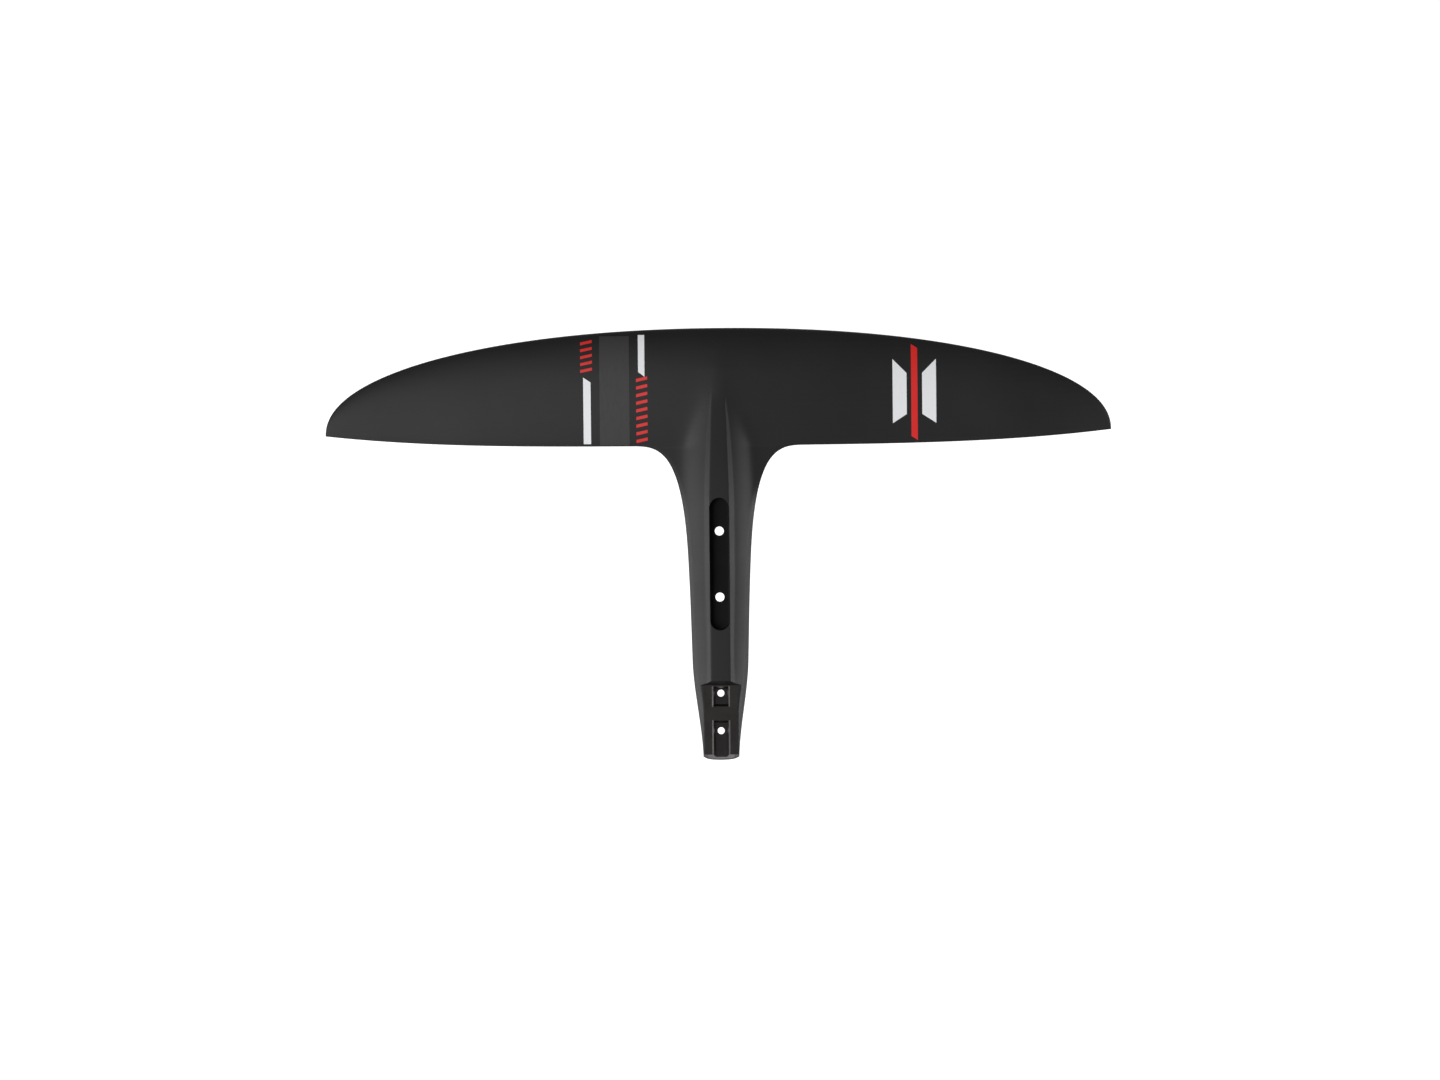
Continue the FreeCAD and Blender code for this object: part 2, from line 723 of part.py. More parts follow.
def make_sleeve(name, row, top, shoulder, foot, place):
    """An upright turned sleeve with a countersunk flange at its foot; row is mast or tail."""
    body = add_body(name)
    sketch = add_sketch(body, f"{name}_half_section", "XZ_Plane")
    hole = f"dims.{row}_bolt_hole / 2"
    outside = f"dims.{row}_bolt_hole / 2 + dims.sleeve_wall"
    sink = f"dims.{row}_countersink / 2"
    flange = f"dims.{row}_countersink / 2 + dims.flange_extra"
    depth = f"dims.{row}_countersink_depth"
    draw_profile(
        sketch,
        [
            (hole, top),
            (outside, top),
            (outside, shoulder),
            (flange, f"{foot} + {depth} / 3"),
            (flange, foot),
            (sink, foot),
            (hole, f"{foot} + {depth}"),
        ],
    )
    turned = body.newObject("PartDesign::Revolution", f"{name}_turned")
    turned.Profile = sketch
    turned.ReferenceAxis = (sketch, ["V_Axis"])
    turned.Angle = 360
    body.setExpression("Placement.Base.y", place)
    return body


RAKE_CUT_HEIGHT = 20.0  # the raked cut reaches this far above and below the pocket floor
TAIL_SLEEVE_TOP = "dims.ledge_z - dims.key_depth - dims.sleeve_cover"


def make_tail_block():
    """The dense block whose top is the ledge, with its pocket, open channel and front tongue."""
    body = add_body("tail_block")
    plan = add_sketch(body, "block_plan", "XY_Plane", "dims.tail_block_floor")
    back = "dims.tail_y - dims.tail_block_overrun"
    draw_profile(
        plan,
        [
            ("-dims.tail_block_half_width", "dims.tail_block_front"),
            ("dims.tail_block_half_width", "dims.tail_block_front"),
            ("dims.tail_block_half_width", "dims.step_foot_y"),
            ("dims.tail_block_end_half_width", back),
            ("-dims.tail_block_end_half_width", back),
            ("-dims.tail_block_half_width", "dims.step_foot_y"),
        ],
    )
    pad = add_pad(body, "block_pad", plan, "dims.ledge_z - dims.tail_block_floor")
    doc.recompute()
    solid = pad.Shape
    low_edges = []
    for i, edge in enumerate(solid.Edges, start=1):
        low = edge.BoundBox.ZMax < size["tail_block_floor"] + 0.01
        if low and edge.BoundBox.YLength > 1.0:
            low_edges.append(f"Edge{i}")
    bevel = body.newObject("PartDesign::Chamfer", "block_bevel")
    bevel.Base = (pad, low_edges)
    bevel.setExpression("Size", "dims.tail_block_bevel")
    tongue = add_sketch(body, "tongue_plan", "XY_Plane", "dims.ledge_z")
    wide = "dims.tail_block_half_width + 1"
    ahead = "dims.tail_block_front + 1"
    corners = [(f"-({wide})", "dims.step_foot_y"), (wide, "dims.step_foot_y")]
    corners += [(wide, ahead), (f"-({wide})", ahead)]
    draw_profile(tongue, corners)
    add_pocket(body, "tongue_step", tongue, "dims.tongue_drop")
    key = add_sketch(body, "key_mouth", "XY_Plane", "dims.ledge_z")
    half = "dims.key_half_width"
    mouth = [(f"-{half}", "dims.key_back_y"), (half, "dims.key_back_y")]
    mouth += [(half, "dims.key_front_y"), (f"-{half}", "dims.key_front_y")]
    draw_profile(key, mouth)
    add_pocket(body, "key_pocket", key, "dims.key_depth", "-dims.key_draft_degrees")
    channel = add_sketch(body, "channel_mouth", "XY_Plane", "dims.ledge_z")
    open_end = "dims.tail_y - 2 * dims.tail_block_overrun"
    mouth = [(f"-{half}", open_end), (half, open_end)]
    mouth += [(half, "dims.channel_front_y"), (f"-{half}", "dims.channel_front_y")]
    draw_profile(channel, mouth)
    add_pocket(body, "key_channel", channel, "dims.key_depth", "-dims.key_draft_degrees")
    spots = [("0", "dims.tail_bolt_y"), ("0", "dims.tail_bolt_y - dims.tail_bolt_spacing")]
    holes = add_sketch(body, "bolt_centres", "XY_Plane", "dims.ledge_z")
    draw_holes(holes, "dims.tail_bolt_hole", spots)
    add_pocket(body, "bolt_holes_through", holes, "dims.ledge_z - dims.tail_block_floor + 1")
    seats = add_sketch(body, "sleeve_seats", "XY_Plane", TAIL_SLEEVE_TOP)
    draw_holes(seats, "dims.tail_bolt_hole + 2 * dims.sleeve_wall", spots)
    add_pocket(body, "sleeve_bores", seats, f"{TAIL_SLEEVE_TOP} - dims.tail_block_floor")
    rake = add_sketch(body, "tail_rake_side", "YZ_Plane")
    up, far = RAKE_CUT_HEIGHT, "dims.tail_y - 5 * dims.tail_block_overrun"
    draw_profile(
        rake,
        [
            (f"dims.tail_y + dims.tail_rake * {up}", f"{up}"),
            (f"dims.tail_y - dims.tail_rake * {up}", f"-{up}"),
            (far, f"-{up}"),
            (far, f"{up}"),
        ],
    )
    doc.recompute()
    before = body.Shape.Volume
    trimmed = body.newObject("PartDesign::Pocket", "raked_end")
    trimmed.Profile = rake
    trimmed.Midplane = True
    trimmed.setExpression("Length", "4 * dims.tail_block_half_width")
    doc.recompute()
    if not body.Shape.Volume < before - 1.0:
        raise RuntimeError("the raked end removes nothing")
    return body


# ---------------------------------------------------------------- film graphics

MARK_SHARE = 0.42  # how much of its pitch each mark takes up
MARK_SLANT = -2.5  # how far a mark drops across its width; below zero it climbs
FRONT_MARGIN = 4.0  # the band stops this far behind the leading edge
BACK_MARGIN = 1.2  # and starts this far ahead of the trailing edge


def skewed_bar(x0, x1, y0, y1, slant_low=0.0, slant_high=0.0):
    """An upright prism over a bar in plan; the slants drop its low or high end towards greater x."""
    corners = [Vector(x0, y0, -CLEAR), Vector(x1, y0 - slant_low, -CLEAR)]
    corners += [Vector(x1, y1 - slant_high, -CLEAR), Vector(x0, y1, -CLEAR)]
    face = Part.Face(Part.makePolygon(corners + corners[:1]))
    return face.extrude(Vector(0, 0, 2.0 * CLEAR))


def mark_row(x0, x1, y0, y1, count):
    """Short slanted marks one above the other, with gaps between them."""
    pitch = (y1 - y0) / count
    tall = MARK_SHARE * pitch
    starts = [y0 + i * pitch for i in range(count)]
    return [skewed_bar(x0, x1, start, start + tall, MARK_SLANT, MARK_SLANT) for start in starts]


def film_graphics():
    """Name and upright prisms of each film graphic on the upper skin.

    Each bar is given by x from and to, then y from and to ahead of the trailing edge, then slants.
    """
    back = trailing_edge(0.0)
    front = leading_edge(110.0) - FRONT_MARGIN
    return {
        "outer_white_bar": [skewed_bar(-134.6, -127.2, back + 2.7, back + 69.2, 0.0, 5.0)],
        "outer_red_marks": mark_row(-137.4, -125.6, back + 73.7, back + 108.2, 5),
        "grey_band": [skewed_bar(-118.4, -88.6, back + BACK_MARGIN, front)],
        "inner_white_bar": [skewed_bar(-79.6, -73.2, back + 74.2, back + 111.2, 5.0, 0.0)],
        "inner_red_marks": mark_row(-81.8, -70.6, back + 3.2, back + 71.7, 9),
        "emblem_white": [
            skewed_bar(174.5, 188.5, back + 20.7, back + 84.7, -9.0, 14.0),
            skewed_bar(204.0, 218.0, back + 29.7, back + 70.7, 9.0, -14.0),
        ],
        "emblem_red": [skewed_bar(193.0, 199.4, back + 7.7, back + 99.7, 4.0, 4.0)],
    }


# ---------------------------------------------------------------- pieces turned, padded and pocketed

liner = make_liner()
mast_bolt_places = {
    "front_mast_bolt_sleeve": "dims.mast_bolt_spacing / 2",
    "rear_mast_bolt_sleeve": "-dims.mast_bolt_spacing / 2",
}
mast_foot = "dims.belly_z + dims.sleeve_inset"
mast_shoulder = f"{mast_foot} + dims.mast_countersink_depth"
mast_sleeves = [
    make_sleeve(name, "mast", "-dims.liner_floor", mast_shoulder, mast_foot, place)
    for name, place in mast_bolt_places.items()
]
tail_bolt_places = {
    "front_tail_bolt_sleeve": "dims.tail_bolt_y",
    "rear_tail_bolt_sleeve": "dims.tail_bolt_y - dims.tail_bolt_spacing",
}
tail_foot = "dims.belly_z + dims.belly_tail_rise + dims.sleeve_inset"
tail_shoulder = f"min({tail_foot} + dims.tail_countersink_depth; dims.tail_block_floor)"
tail_sleeves = [
    make_sleeve(name, "tail", TAIL_SLEEVE_TOP, tail_shoulder, tail_foot, place)
    for name, place in tail_bolt_places.items()
]
tail_block = make_tail_block()
doc.recompute()


# ---------------------------------------------------------------- rooms for them


def sleeve_room(sleeve, row):
    """The room a sleeve needs in the pieces around it: itself, its bore and the way in below it."""
    box = sleeve.Shape.BoundBox
    foot = Vector(0, (box.YMin + box.YMax) / 2.0, box.ZMin)
    bore = size[f"{row}_bolt_hole"] / 2.0
    mouth = size[f"{row}_countersink"] / 2.0
    through = Part.makeCylinder(bore, box.ZLength, foot)
    sink = Part.makeCone(mouth, bore, size[f"{row}_countersink_depth"], foot)
    below = Part.makeCylinder(box.XLength / 2.0, CLEAR, foot - Vector(0, 0, CLEAR))
    return sleeve.Shape.fuse([through, sink, below])


mast_rooms = [sleeve_room(sleeve, "mast") for sleeve in mast_sleeves]
tail_rooms = [sleeve_room(sleeve, "tail") for sleeve in tail_sleeves]
liner_room = slot_prism(
    size["pocket_half_width"] + size["liner_wall"],
    size["pocket_length"] + 2.0 * size["liner_wall"],
    -size["liner_floor"],
    size["liner_rim_z"],
)
block_room = doc.getObject("tongue_step").Shape.copy()

# ---------------------------------------------------------------- beam and cores

FAR = 400.0
wing_room = wing_inside()
front_room = wing_room.common(chord_slab(0.0, size["spar_back"]))
filler = wing_room.common(chord_slab(0.0, size["filler_back"]))
front_core = wing_room.common(chord_slab(size["filler_back"], size["spar_front"]))
spar = wing_room.common(chord_slab(size["spar_front"], size["spar_back"]))
rear_core = wing_room.common(chord_slab(size["spar_back"], 1.0))
above_web = shifted(spar, -size["spar_cap"])
below_web = shifted(spar, size["spar_cap"])
fuselage_room = fuselage_inside()
mast_zone = block(-FAR, FAR, -FAR, size["mast_block_front"], -FAR, FAR)

inner_pieces = {
    "leading_edge_filler": filler,
    "upper_spar_cap": spar.cut(above_web),
    "spar_web": spar.common(above_web).common(below_web),
    "lower_spar_cap": spar.cut(below_web),
    "mast_block": fuselage_room.common(mast_zone).cut([liner_room] + mast_rooms),
    "fuselage_nose_core": fuselage_room.cut(mast_zone),
}
for side, sign in (("left", -1.0), ("right", 1.0)):
    ends = sorted((0.0, sign * FAR))
    outboard = sorted((sign * size["fuselage_core_half_width"], sign * FAR))
    inner_pieces[f"{side}_front_core"] = front_core.common(block(*ends, 0.0, FAR, -FAR, FAR))
    inner_pieces[f"{side}_rear_core"] = rear_core.common(block(*outboard, 0.0, FAR, -FAR, FAR))

# ---------------------------------------------------------------- shells and films

surface_body = make_body().cut(behind_tail())
mast_hollow = slot_prism(size["pocket_half_width"], size["pocket_length"], 0.0, CLEAR)
outside = surface_body.fuse(make_deck()).cut([above_ledge(), mast_hollow])
rooms = [front_room, inner_pieces["left_rear_core"], inner_pieces["right_rear_core"], fuselage_room]
rooms += [liner_room, block_room] + mast_rooms + tail_rooms
upper_half = above_parting()
shells = {"upper_skin": outside.common(upper_half), "lower_skin": outside.cut(upper_half)}
for name in shells:
    for room in rooms:
        shells[name] = shells[name].cut(room)

for name, shape in {**shells, **inner_pieces}.items():
    if len(shape.Solids) != 1:
        raise RuntimeError(f"{name} came out as {len(shape.Solids)} solids")
    add_shape(name, shape.Solids[0])

lifted_body = shifted(surface_body, size["film"])
for name, prisms in film_graphics().items():
    films = []
    for prism in prisms:
        laid = prism.common(lifted_body).cut(surface_body)
        films.append(max(laid.Solids, key=lambda solid: solid.Volume))
    add_shape(name, films[0] if len(films) == 1 else Part.makeCompound(films))

# ---------------------------------------------------------------- check and write

doc.recompute()
for item in doc.Objects:
    if "Invalid" in item.State or "Error" in item.State:
        raise RuntimeError(f"{item.Name} did not recompute: {item.State}")
sub_parts = [item for item in doc.Objects if item.TypeId in ("PartDesign::Body", "Part::Feature")]
for item in sub_parts:
    if item.Shape.isNull() or not item.Shape.isValid() or item.Shape.Volume <= 0:
        raise RuntimeError(f"{item.Label} has no sound shape")
os.makedirs("parts", exist_ok=True)
for item in sub_parts:
    item.Shape.exportStep(f"parts/{item.Label}.step")
print(len(sub_parts), "sub-parts written")
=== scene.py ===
import json
import math
from types import SimpleNamespace

import bmesh
import bpy
import numpy as np
from bpy.props import FloatProperty, FloatVectorProperty, IntProperty, PointerProperty
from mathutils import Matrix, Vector
from mathutils.geometry import delaunay_2d_cdt


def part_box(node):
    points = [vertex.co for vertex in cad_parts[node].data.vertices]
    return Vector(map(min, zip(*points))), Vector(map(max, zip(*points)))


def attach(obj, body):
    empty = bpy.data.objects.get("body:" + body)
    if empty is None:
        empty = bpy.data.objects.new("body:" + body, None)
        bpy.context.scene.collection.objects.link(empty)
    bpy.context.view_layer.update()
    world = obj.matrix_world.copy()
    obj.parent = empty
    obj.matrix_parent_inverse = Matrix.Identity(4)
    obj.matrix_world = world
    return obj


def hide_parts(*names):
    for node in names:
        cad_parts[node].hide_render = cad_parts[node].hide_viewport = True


bl_info = {
    "name": "Hydrofoil Front Wing",
    "version": (1, 0, 0),
    "blender": (4, 5, 0),
    "location": "3D View > Sidebar > Foil",
    "description": "Finishes a hydrofoil wing: shells, mast socket, tail block, sleeves and films",
    "category": "Object",
}

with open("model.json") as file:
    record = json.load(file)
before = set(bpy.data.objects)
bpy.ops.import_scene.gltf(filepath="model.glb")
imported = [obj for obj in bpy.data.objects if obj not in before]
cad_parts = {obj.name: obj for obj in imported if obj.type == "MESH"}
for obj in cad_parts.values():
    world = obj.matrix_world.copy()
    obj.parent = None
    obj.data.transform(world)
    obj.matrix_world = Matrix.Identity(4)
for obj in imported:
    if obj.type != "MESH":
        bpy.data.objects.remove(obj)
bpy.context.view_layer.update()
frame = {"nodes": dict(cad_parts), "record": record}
MM = 0.001


def node_span(node):
    """Lowest and highest corner of a CAD node, in millimetres."""
    low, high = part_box(node)
    return low / MM, high / MM


LINER_LOW, LINER_HIGH = node_span("mast_socket_liner")
BLOCK_LOW, BLOCK_HIGH = node_span("tail_block")

# Sizes that the moulding's own rule needs, in millimetres. X runs along the span, Y points forward.
MOULD = {
    "half_span": 393.0,
    "tip_y": 132.0,
    "leading_edge_rise": 103.9,
    "leading_edge_power": 2.12,
    "leading_edge_fullness": 2.13,
    "trailing_edge_y": 118.3,
    "trailing_edge_sweep": 13.0,
    "trailing_sweep_power": 3.6,
    "wing_plane": -1.0,
    "anhedral": math.radians(3.0),
    "anhedral_blend": 60.0,
    "root_thickness": 0.118,
    "tip_thickness": 0.088,
    "camber": 0.02,
    "camber_place": 0.4,
    "land": 0.5,
    "fuselage_half_width": 30.0,
    "side_taper": 2.0,
    "side_taper_power": 1.3,
    "narrowing_y": -96.0,
    "tail_narrowing": 7.1,
    "tail_y": -192.0,
    "tail_rake": 0.37,
    "rake_run": 9.0,
    "corner_x": 89.8,
    "corner_y": -96.0,
    "corner_power": 3.5,
    "crown": 12.9,
    "crown_tail_drop": 2.6,
    "crown_nose_drop": 8.9,
    "flank_drop": 11.4,
    "belly": -13.0,
    "belly_tail_rise": 3.0,
    "belly_nose_rise": 9.0,
    "belly_edge_rise": 8.6,
    "belly_roundness": 0.4,
    "nose_start": 55.0,
    "nose_end": 250.0,
    "dive_start": 215.0,
    "dive_run": 40.0,
    "dive_power": 1.5,
    "dive_depth": 30.0,
    "rim": 4.0,
    "blend": 4.0,
    "blend_run": 40.0,
    "deck": 15.0,
    "deck_tail_drop": 2.8,
    "deck_fall": 11.163,
    "deck_fall_start": 56.0,
    "deck_fall_end": 267.0,
    "deck_half_width": 10.0,
    "deck_nose_half_width": 4.6,
    "deck_nose_y": 222.0,
    "deck_narrowing_y": 66.0,
    "deck_narrowing_power": 1.25,
    "deck_end_y": 217.0,
    "deck_end_run": 20.0,
    "deck_end_drop": 40.0,
    "deck_crease": 0.5,
    "chamfer_slope": 0.963,
    "step_foot_y": -121.0,
    "step_slope": 1.81,
    "step_crease": 0.35,
    "ledge": BLOCK_HIGH.z,
    "pocket_half_width": LINER_HIGH.x - 1.5,
    "pocket_straight": LINER_HIGH.y - LINER_HIGH.x,
    "pocket_round": 0.4,
    "liner_rim": LINER_HIGH.z,
    "skin": 1.2,
    "fuselage_skin": 2.0,
    "thick_skin_outer_x": 25.5,
    "thick_skin_inner_x": 23.5,
    "solid_depth": 60.0,
    "rear_solid_start": 0.85,
    "rear_solid_end": 0.875,
    "front_solid_start": 0.04,
    "front_solid_end": 0.03,
    "tail_solid_start": -98.0,
    "tail_solid_end": -101.0,
    "opening_gap": 0.05,
    "opening_round": 0.3,
    "block_half_width": 17.6,
    "block_front": BLOCK_HIGH.y,
    "block_floor": BLOCK_LOW.z,
    "block_bevel": 4.0,
    "block_taper": 5.0 / 79.0,
    "block_clear": 0.02,
    "block_edge_run": 0.4,
}
SIZES = SimpleNamespace(**MOULD)
# Bolt sleeves: place along Y, radius of the bore, radius of the countersink and its depth.
SLEEVES = [
    (33.0, 4.5, 8.7, 4.2),
    (-33.0, 4.5, 8.7, 4.2),
    (-129.0, 3.5, 6.7, 3.2),
    (-166.5, 3.5, 6.7, 3.2),
]
SLEEVE_WALL = 2.2
FLANGE_EXTRA = 2.0
SLEEVE_EDGE = 0.3
# Key pockets in the ledge: front and back along Y, and whether the back runs out at the tail.
KEYS = {"key": (-122.0, -142.5, False), "channel": (-156.0, -215.0, True)}
KEY_HALF_WIDTH = 8.0
KEY_DEPTH = 7.0
KEY_DRAFT = math.radians(19.6)
FLARE_HALF_WIDTH = 9.1
FLARE_FOOT_HALF_WIDTH = 7.6
FLARE_DEPTH = 1.15
FLARE_RUN_ON = 0.1
TONGUE_DROP = 2.0
TONGUE_STEP = 0.02
SLEEVE_SEAT_DEPTH = 8.0
BELOW_BLOCK = -20.0
# Films: how finely they are split, how far they reach into the shell, and the marks in a red row.
FILM_GRID = 1.2
FILM_SINK = 0.25
BAND_FRONT_X = 110.0
BAND_INSET = 4.0
MARK_SHARE = 0.42
MARK_SLANT = -2.5
# Distances from a crease at which rows of points follow it.
CREASE_ROWS = (-1.0, -0.45, -0.2, 0.0, 0.2, 0.45, 1.0)
HALVINGS = 30
# Camera, in metres: height, width of the view at the height of the deck, place and turn.
CAMERA_HEIGHT = 11.0
VIEW_WIDTH = 1.44
VIEW_HEIGHT = 0.012
CAMERA_PLACE = (0.0006, 0.024)
CAMERA_TURN = math.radians(-0.555)


# ---------------------------------------------------------------- node trees as expressions


class Term:
    """A socket that stands in arithmetic: every operator adds a Math node to the socket's tree."""

    def __init__(self, tree, socket):
        self.tree = tree
        self.socket = socket

    def math(self, operation, *others):
        values = dict(enumerate((self, *others)))
        return self.tree.add("ShaderNodeMath", {"operation": operation}, values)[0]

    def __add__(self, other):
        return self.math("ADD", other)

    __radd__ = __add__

    def __mul__(self, other):
        return self.math("MULTIPLY", other)

    __rmul__ = __mul__

    def __sub__(self, other):
        return self.math("SUBTRACT", other)

    def __rsub__(self, other):
        return (self * -1.0) + other

    def __truediv__(self, other):
        return self.math("DIVIDE", other)

    def __rtruediv__(self, other):
        return self.math("POWER", -1.0) * other

    def __pow__(self, other):
        return self.math("POWER", other)

    def __neg__(self):
        return self * -1.0

    def __abs__(self):
        return self.math("ABSOLUTE")


class Made:
    """A node just added; its outputs are read as terms by name or place."""

    def __init__(self, tree, node):
        self.tree = tree
        self.node = node

    def __getitem__(self, key):
        return Term(self.tree, self.node.outputs[key])


class Tree:
    """A node tree that nodes are added to with their settings and inputs."""

    def __init__(self, node_tree):
        self.nodes = node_tree.nodes
        self.links = node_tree.links

    def add(self, kind, settings=None, inputs=None):
        node = self.nodes.new(kind)
        for name, value in (settings or {}).items():
            setattr(node, name, value)
        for key, value in (inputs or {}).items():
            self.plug(value, node.inputs[key])
        return Made(self, node)

    def plug(self, value, socket):
        if isinstance(value, Term):
            self.links.new(value.socket, socket)
        else:
            socket.default_value = value


# ---------------------------------------------------------------- maths on numbers, arrays and terms


def root(value):
    return value.math("SQRT") if isinstance(value, Term) else np.sqrt(value)


def larger(one, other):
    if isinstance(one, Term):
        return one.math("MAXIMUM", other)
    return other.math("MAXIMUM", one) if isinstance(other, Term) else np.maximum(one, other)


def smaller(one, other):
    if isinstance(one, Term):
        return one.math("MINIMUM", other)
    return other.math("MINIMUM", one) if isinstance(other, Term) else np.minimum(one, other)


def is_less(one, other):
    return one.math("LESS_THAN", other) if isinstance(one, Term) else np.where(one < other, 1.0, 0.0)


def sine(value):
    return value.math("SINE") if isinstance(value, Term) else np.sin(value)


def tangent(value):
    return value.math("TANGENT") if isinstance(value, Term) else np.tan(value)


def share_of(start, end, at):
    return smaller(larger((at - start) / (end - start), 0.0), 1.0)


def ease(start, end, at):
    """0 at start, 1 at end, level at both."""
    share = share_of(start, end, at)
    return share * share * (3.0 - share * 2.0)


def soft_larger(one, other, width):
    gap = one - other
    return (one + other + root(gap * gap + width * width)) / 2.0


def soft_smaller(one, other, width):
    return -soft_larger(-one, -other, width)


# ---------------------------------------------------------------- the rule of the moulding


def leading_edge(s, x):
    across = smaller(abs(x) / s.half_span, 1.0)
    bow = larger(1.0 - across**s.leading_edge_power, 0.0) ** (1.0 / s.leading_edge_fullness)
    return bow * s.leading_edge_rise + s.tip_y


def trailing_edge(s, x):
    across = larger(abs(x), s.corner_x) / s.half_span
    return across**s.trailing_sweep_power * s.trailing_edge_sweep + s.trailing_edge_y


def fuselage_x(s, y):
    taper = (larger(-y, 0.0) / -s.narrowing_y) ** s.side_taper_power * s.side_taper
    return s.fuselage_half_width - taper - ease(s.narrowing_y, s.tail_y, y) * s.tail_narrowing


def side_x(s, y):
    reach = s.corner_x - s.fuselage_half_width
    along = share_of(s.corner_y, s.trailing_edge_y, y)
    corner = 1.0 - (1.0 - along**s.corner_power) ** (1.0 / s.corner_power)
    return fuselage_x(s, y) + corner * reach


def inboard(s, x, y):
    """Way in from the rear edge of the plan: trailing edges, rounded corners and fuselage sides."""
    reach = s.corner_x - s.fuselage_half_width
    rise = trailing_edge(s, x) - s.corner_y
    power = s.corner_power
    out = larger((fuselage_x(s, y) + reach - abs(x)) / reach, 0.0)
    along = larger((y - s.corner_y) / rise, 0.0)
    level = larger(out**power + along**power, 1e-6) ** (1.0 / power)
    pull_out = out ** (power - 1.0) / reach
    pull_along = along ** (power - 1.0) / rise
    steep = level ** (1.0 - power) * root(pull_out * pull_out + pull_along * pull_along)
    return (level - 1.0) / steep


def parting(s, x):
    """Height of the surface where the two shells meet."""
    blend = s.anhedral_blend
    return s.wing_plane - tangent(s.anhedral) * (root(x * x + blend * blend) - blend)


def wing_heights(s, x, y):
    """Top and underside of the wing, a four-digit section on a bent camber line, and the chord share."""
    lead = leading_edge(s, x)
    chord = lead - trailing_edge(s, x)
    at = smaller(larger((lead - y) / chord, 0.0), 1.0)
    across = abs(x) / s.half_span
    ratio = across * (s.tip_thickness - s.root_thickness) + s.root_thickness
    thick = root(at) * 0.2969 - at * 0.126 - at**2.0 * 0.3516 + at**3.0 * 0.2843 - at**4.0 * 0.1036
    half = ratio * chord * thick * 5.0 + at * s.land
    peak = s.camber_place
    ahead = (at * (2.0 * peak) - at * at) * (s.camber / peak**2.0)
    behind = (at * (2.0 * peak) - at * at + (1.0 - 2.0 * peak)) * (s.camber / (1.0 - peak) ** 2.0)
    first = is_less(at, peak)
    middle = parting(s, x) + (first * ahead + (1.0 - first) * behind) * chord
    return middle + half, middle - half, at


def fuselage_heights(s, x, y):
    """Crown and belly of the fuselage, which slims towards tail and nose and dives at its front end."""
    to_tail = ease(0.0, s.tail_y, y)
    to_nose = ease(s.nose_start, s.nose_end, y)
    dive = (larger(y - s.dive_start, 0.0) / s.dive_run) ** s.dive_power * s.dive_depth
    crown = s.crown - to_tail * s.crown_tail_drop - to_nose * s.crown_nose_drop - dive
    belly = s.belly + to_tail * s.belly_tail_rise + to_nose * s.belly_nose_rise + dive
    across = abs(x) / fuselage_x(s, y)
    square = across * across
    crown = crown - square * s.flank_drop
    bowl = square * s.belly_roundness + square * square * (1.0 - s.belly_roundness)
    belly = belly + bowl * s.belly_edge_rise
    return crown, belly


def rimmed(s, x, y):
    """Top and underside of the moulding, rounded over the rear rim, without the deck."""
    wing_top, wing_low, at = wing_heights(s, x, y)
    crown, belly = fuselage_heights(s, x, y)
    softness = smaller(larger(leading_edge(s, x) - y, 0.0) / s.blend_run, 1.0) * s.blend
    top = soft_larger(wing_top, crown, softness)
    low = -soft_larger(-wing_low, -belly, softness)
    rounding = sine(smaller(larger(inboard(s, x, y), 0.0) / s.rim, 1.0) * (math.pi / 2.0))
    base = parting(s, x)
    over = base + s.land
    under = base - s.land
    ahead = is_less(at * 1.0, 0.5)
    full_top = over + (top - over) * rounding
    full_low = under + (low - under) * rounding
    return ahead * top + (1.0 - ahead) * full_top, ahead * low + (1.0 - ahead) * full_low, at


def deck_line(s, y):
    """Height and half width of the flat deck."""
    sunk = larger((y - s.deck_end_y) / s.deck_end_run, 0.0)
    height = s.deck - ease(0.0, s.step_foot_y, y) * s.deck_tail_drop
    height = height - ease(s.deck_fall_start, s.deck_fall_end, y) * s.deck_fall
    share = larger(y - s.deck_narrowing_y, 0.0) / (s.deck_nose_y - s.deck_narrowing_y)
    narrowing = s.deck_half_width - s.deck_nose_half_width
    half = s.deck_half_width - share**s.deck_narrowing_power * narrowing
    return height - sunk * sunk * s.deck_end_drop, half


def spine_height(s, x, y):
    """Flat deck with a chamfer falling away on each side."""
    height, half = deck_line(s, y)
    return height - soft_larger(abs(x) - half, 0.0, s.deck_crease) * s.chamfer_slope


def pocket_distance(s, x, y):
    """Distance from the mast pocket's rounded mouth."""
    past = larger(abs(y) - s.pocket_straight, 0.0)
    return root(x * x + past * past) - s.pocket_half_width


def rounded_mouth(distance, radius):
    """How far a surface drops as it rolls over the edge of an opening."""
    near = smaller(larger(1.0 - distance / radius, 0.0), 1.0)
    return (1.0 - root(1.0 - near * near)) * radius


def toward_tail(s, y):
    """How much of the tail's rake applies: none ahead of its run, all of it at the end."""
    return ease(s.tail_y + s.rake_run, s.tail_y, y)


def upper_surface(s, x, y):
    top, _, _ = rimmed(s, x, y)
    top = soft_larger(top, spine_height(s, x, y), s.deck_crease)
    cut = larger(y - s.step_foot_y, 0.0) * s.step_slope + s.ledge
    top = soft_smaller(top, cut, s.step_crease)
    return top - rounded_mouth(pocket_distance(s, x, y), s.pocket_round)


def sleeve_distance(s, x, y):
    """Distance outwards from the nearest of the openings that the sleeves stand in."""
    distance = None
    for place, _, sink, _ in SLEEVES:
        off = root(x * x + (y - place) * (y - place)) - (sink + FLANGE_EXTRA + s.opening_gap)
        distance = off if distance is None else smaller(distance, off)
    return distance


def lower_surface(s, x, y):
    _, low, _ = rimmed(s, x, y)
    return low + rounded_mouth(sleeve_distance(s, x, y), s.opening_round)


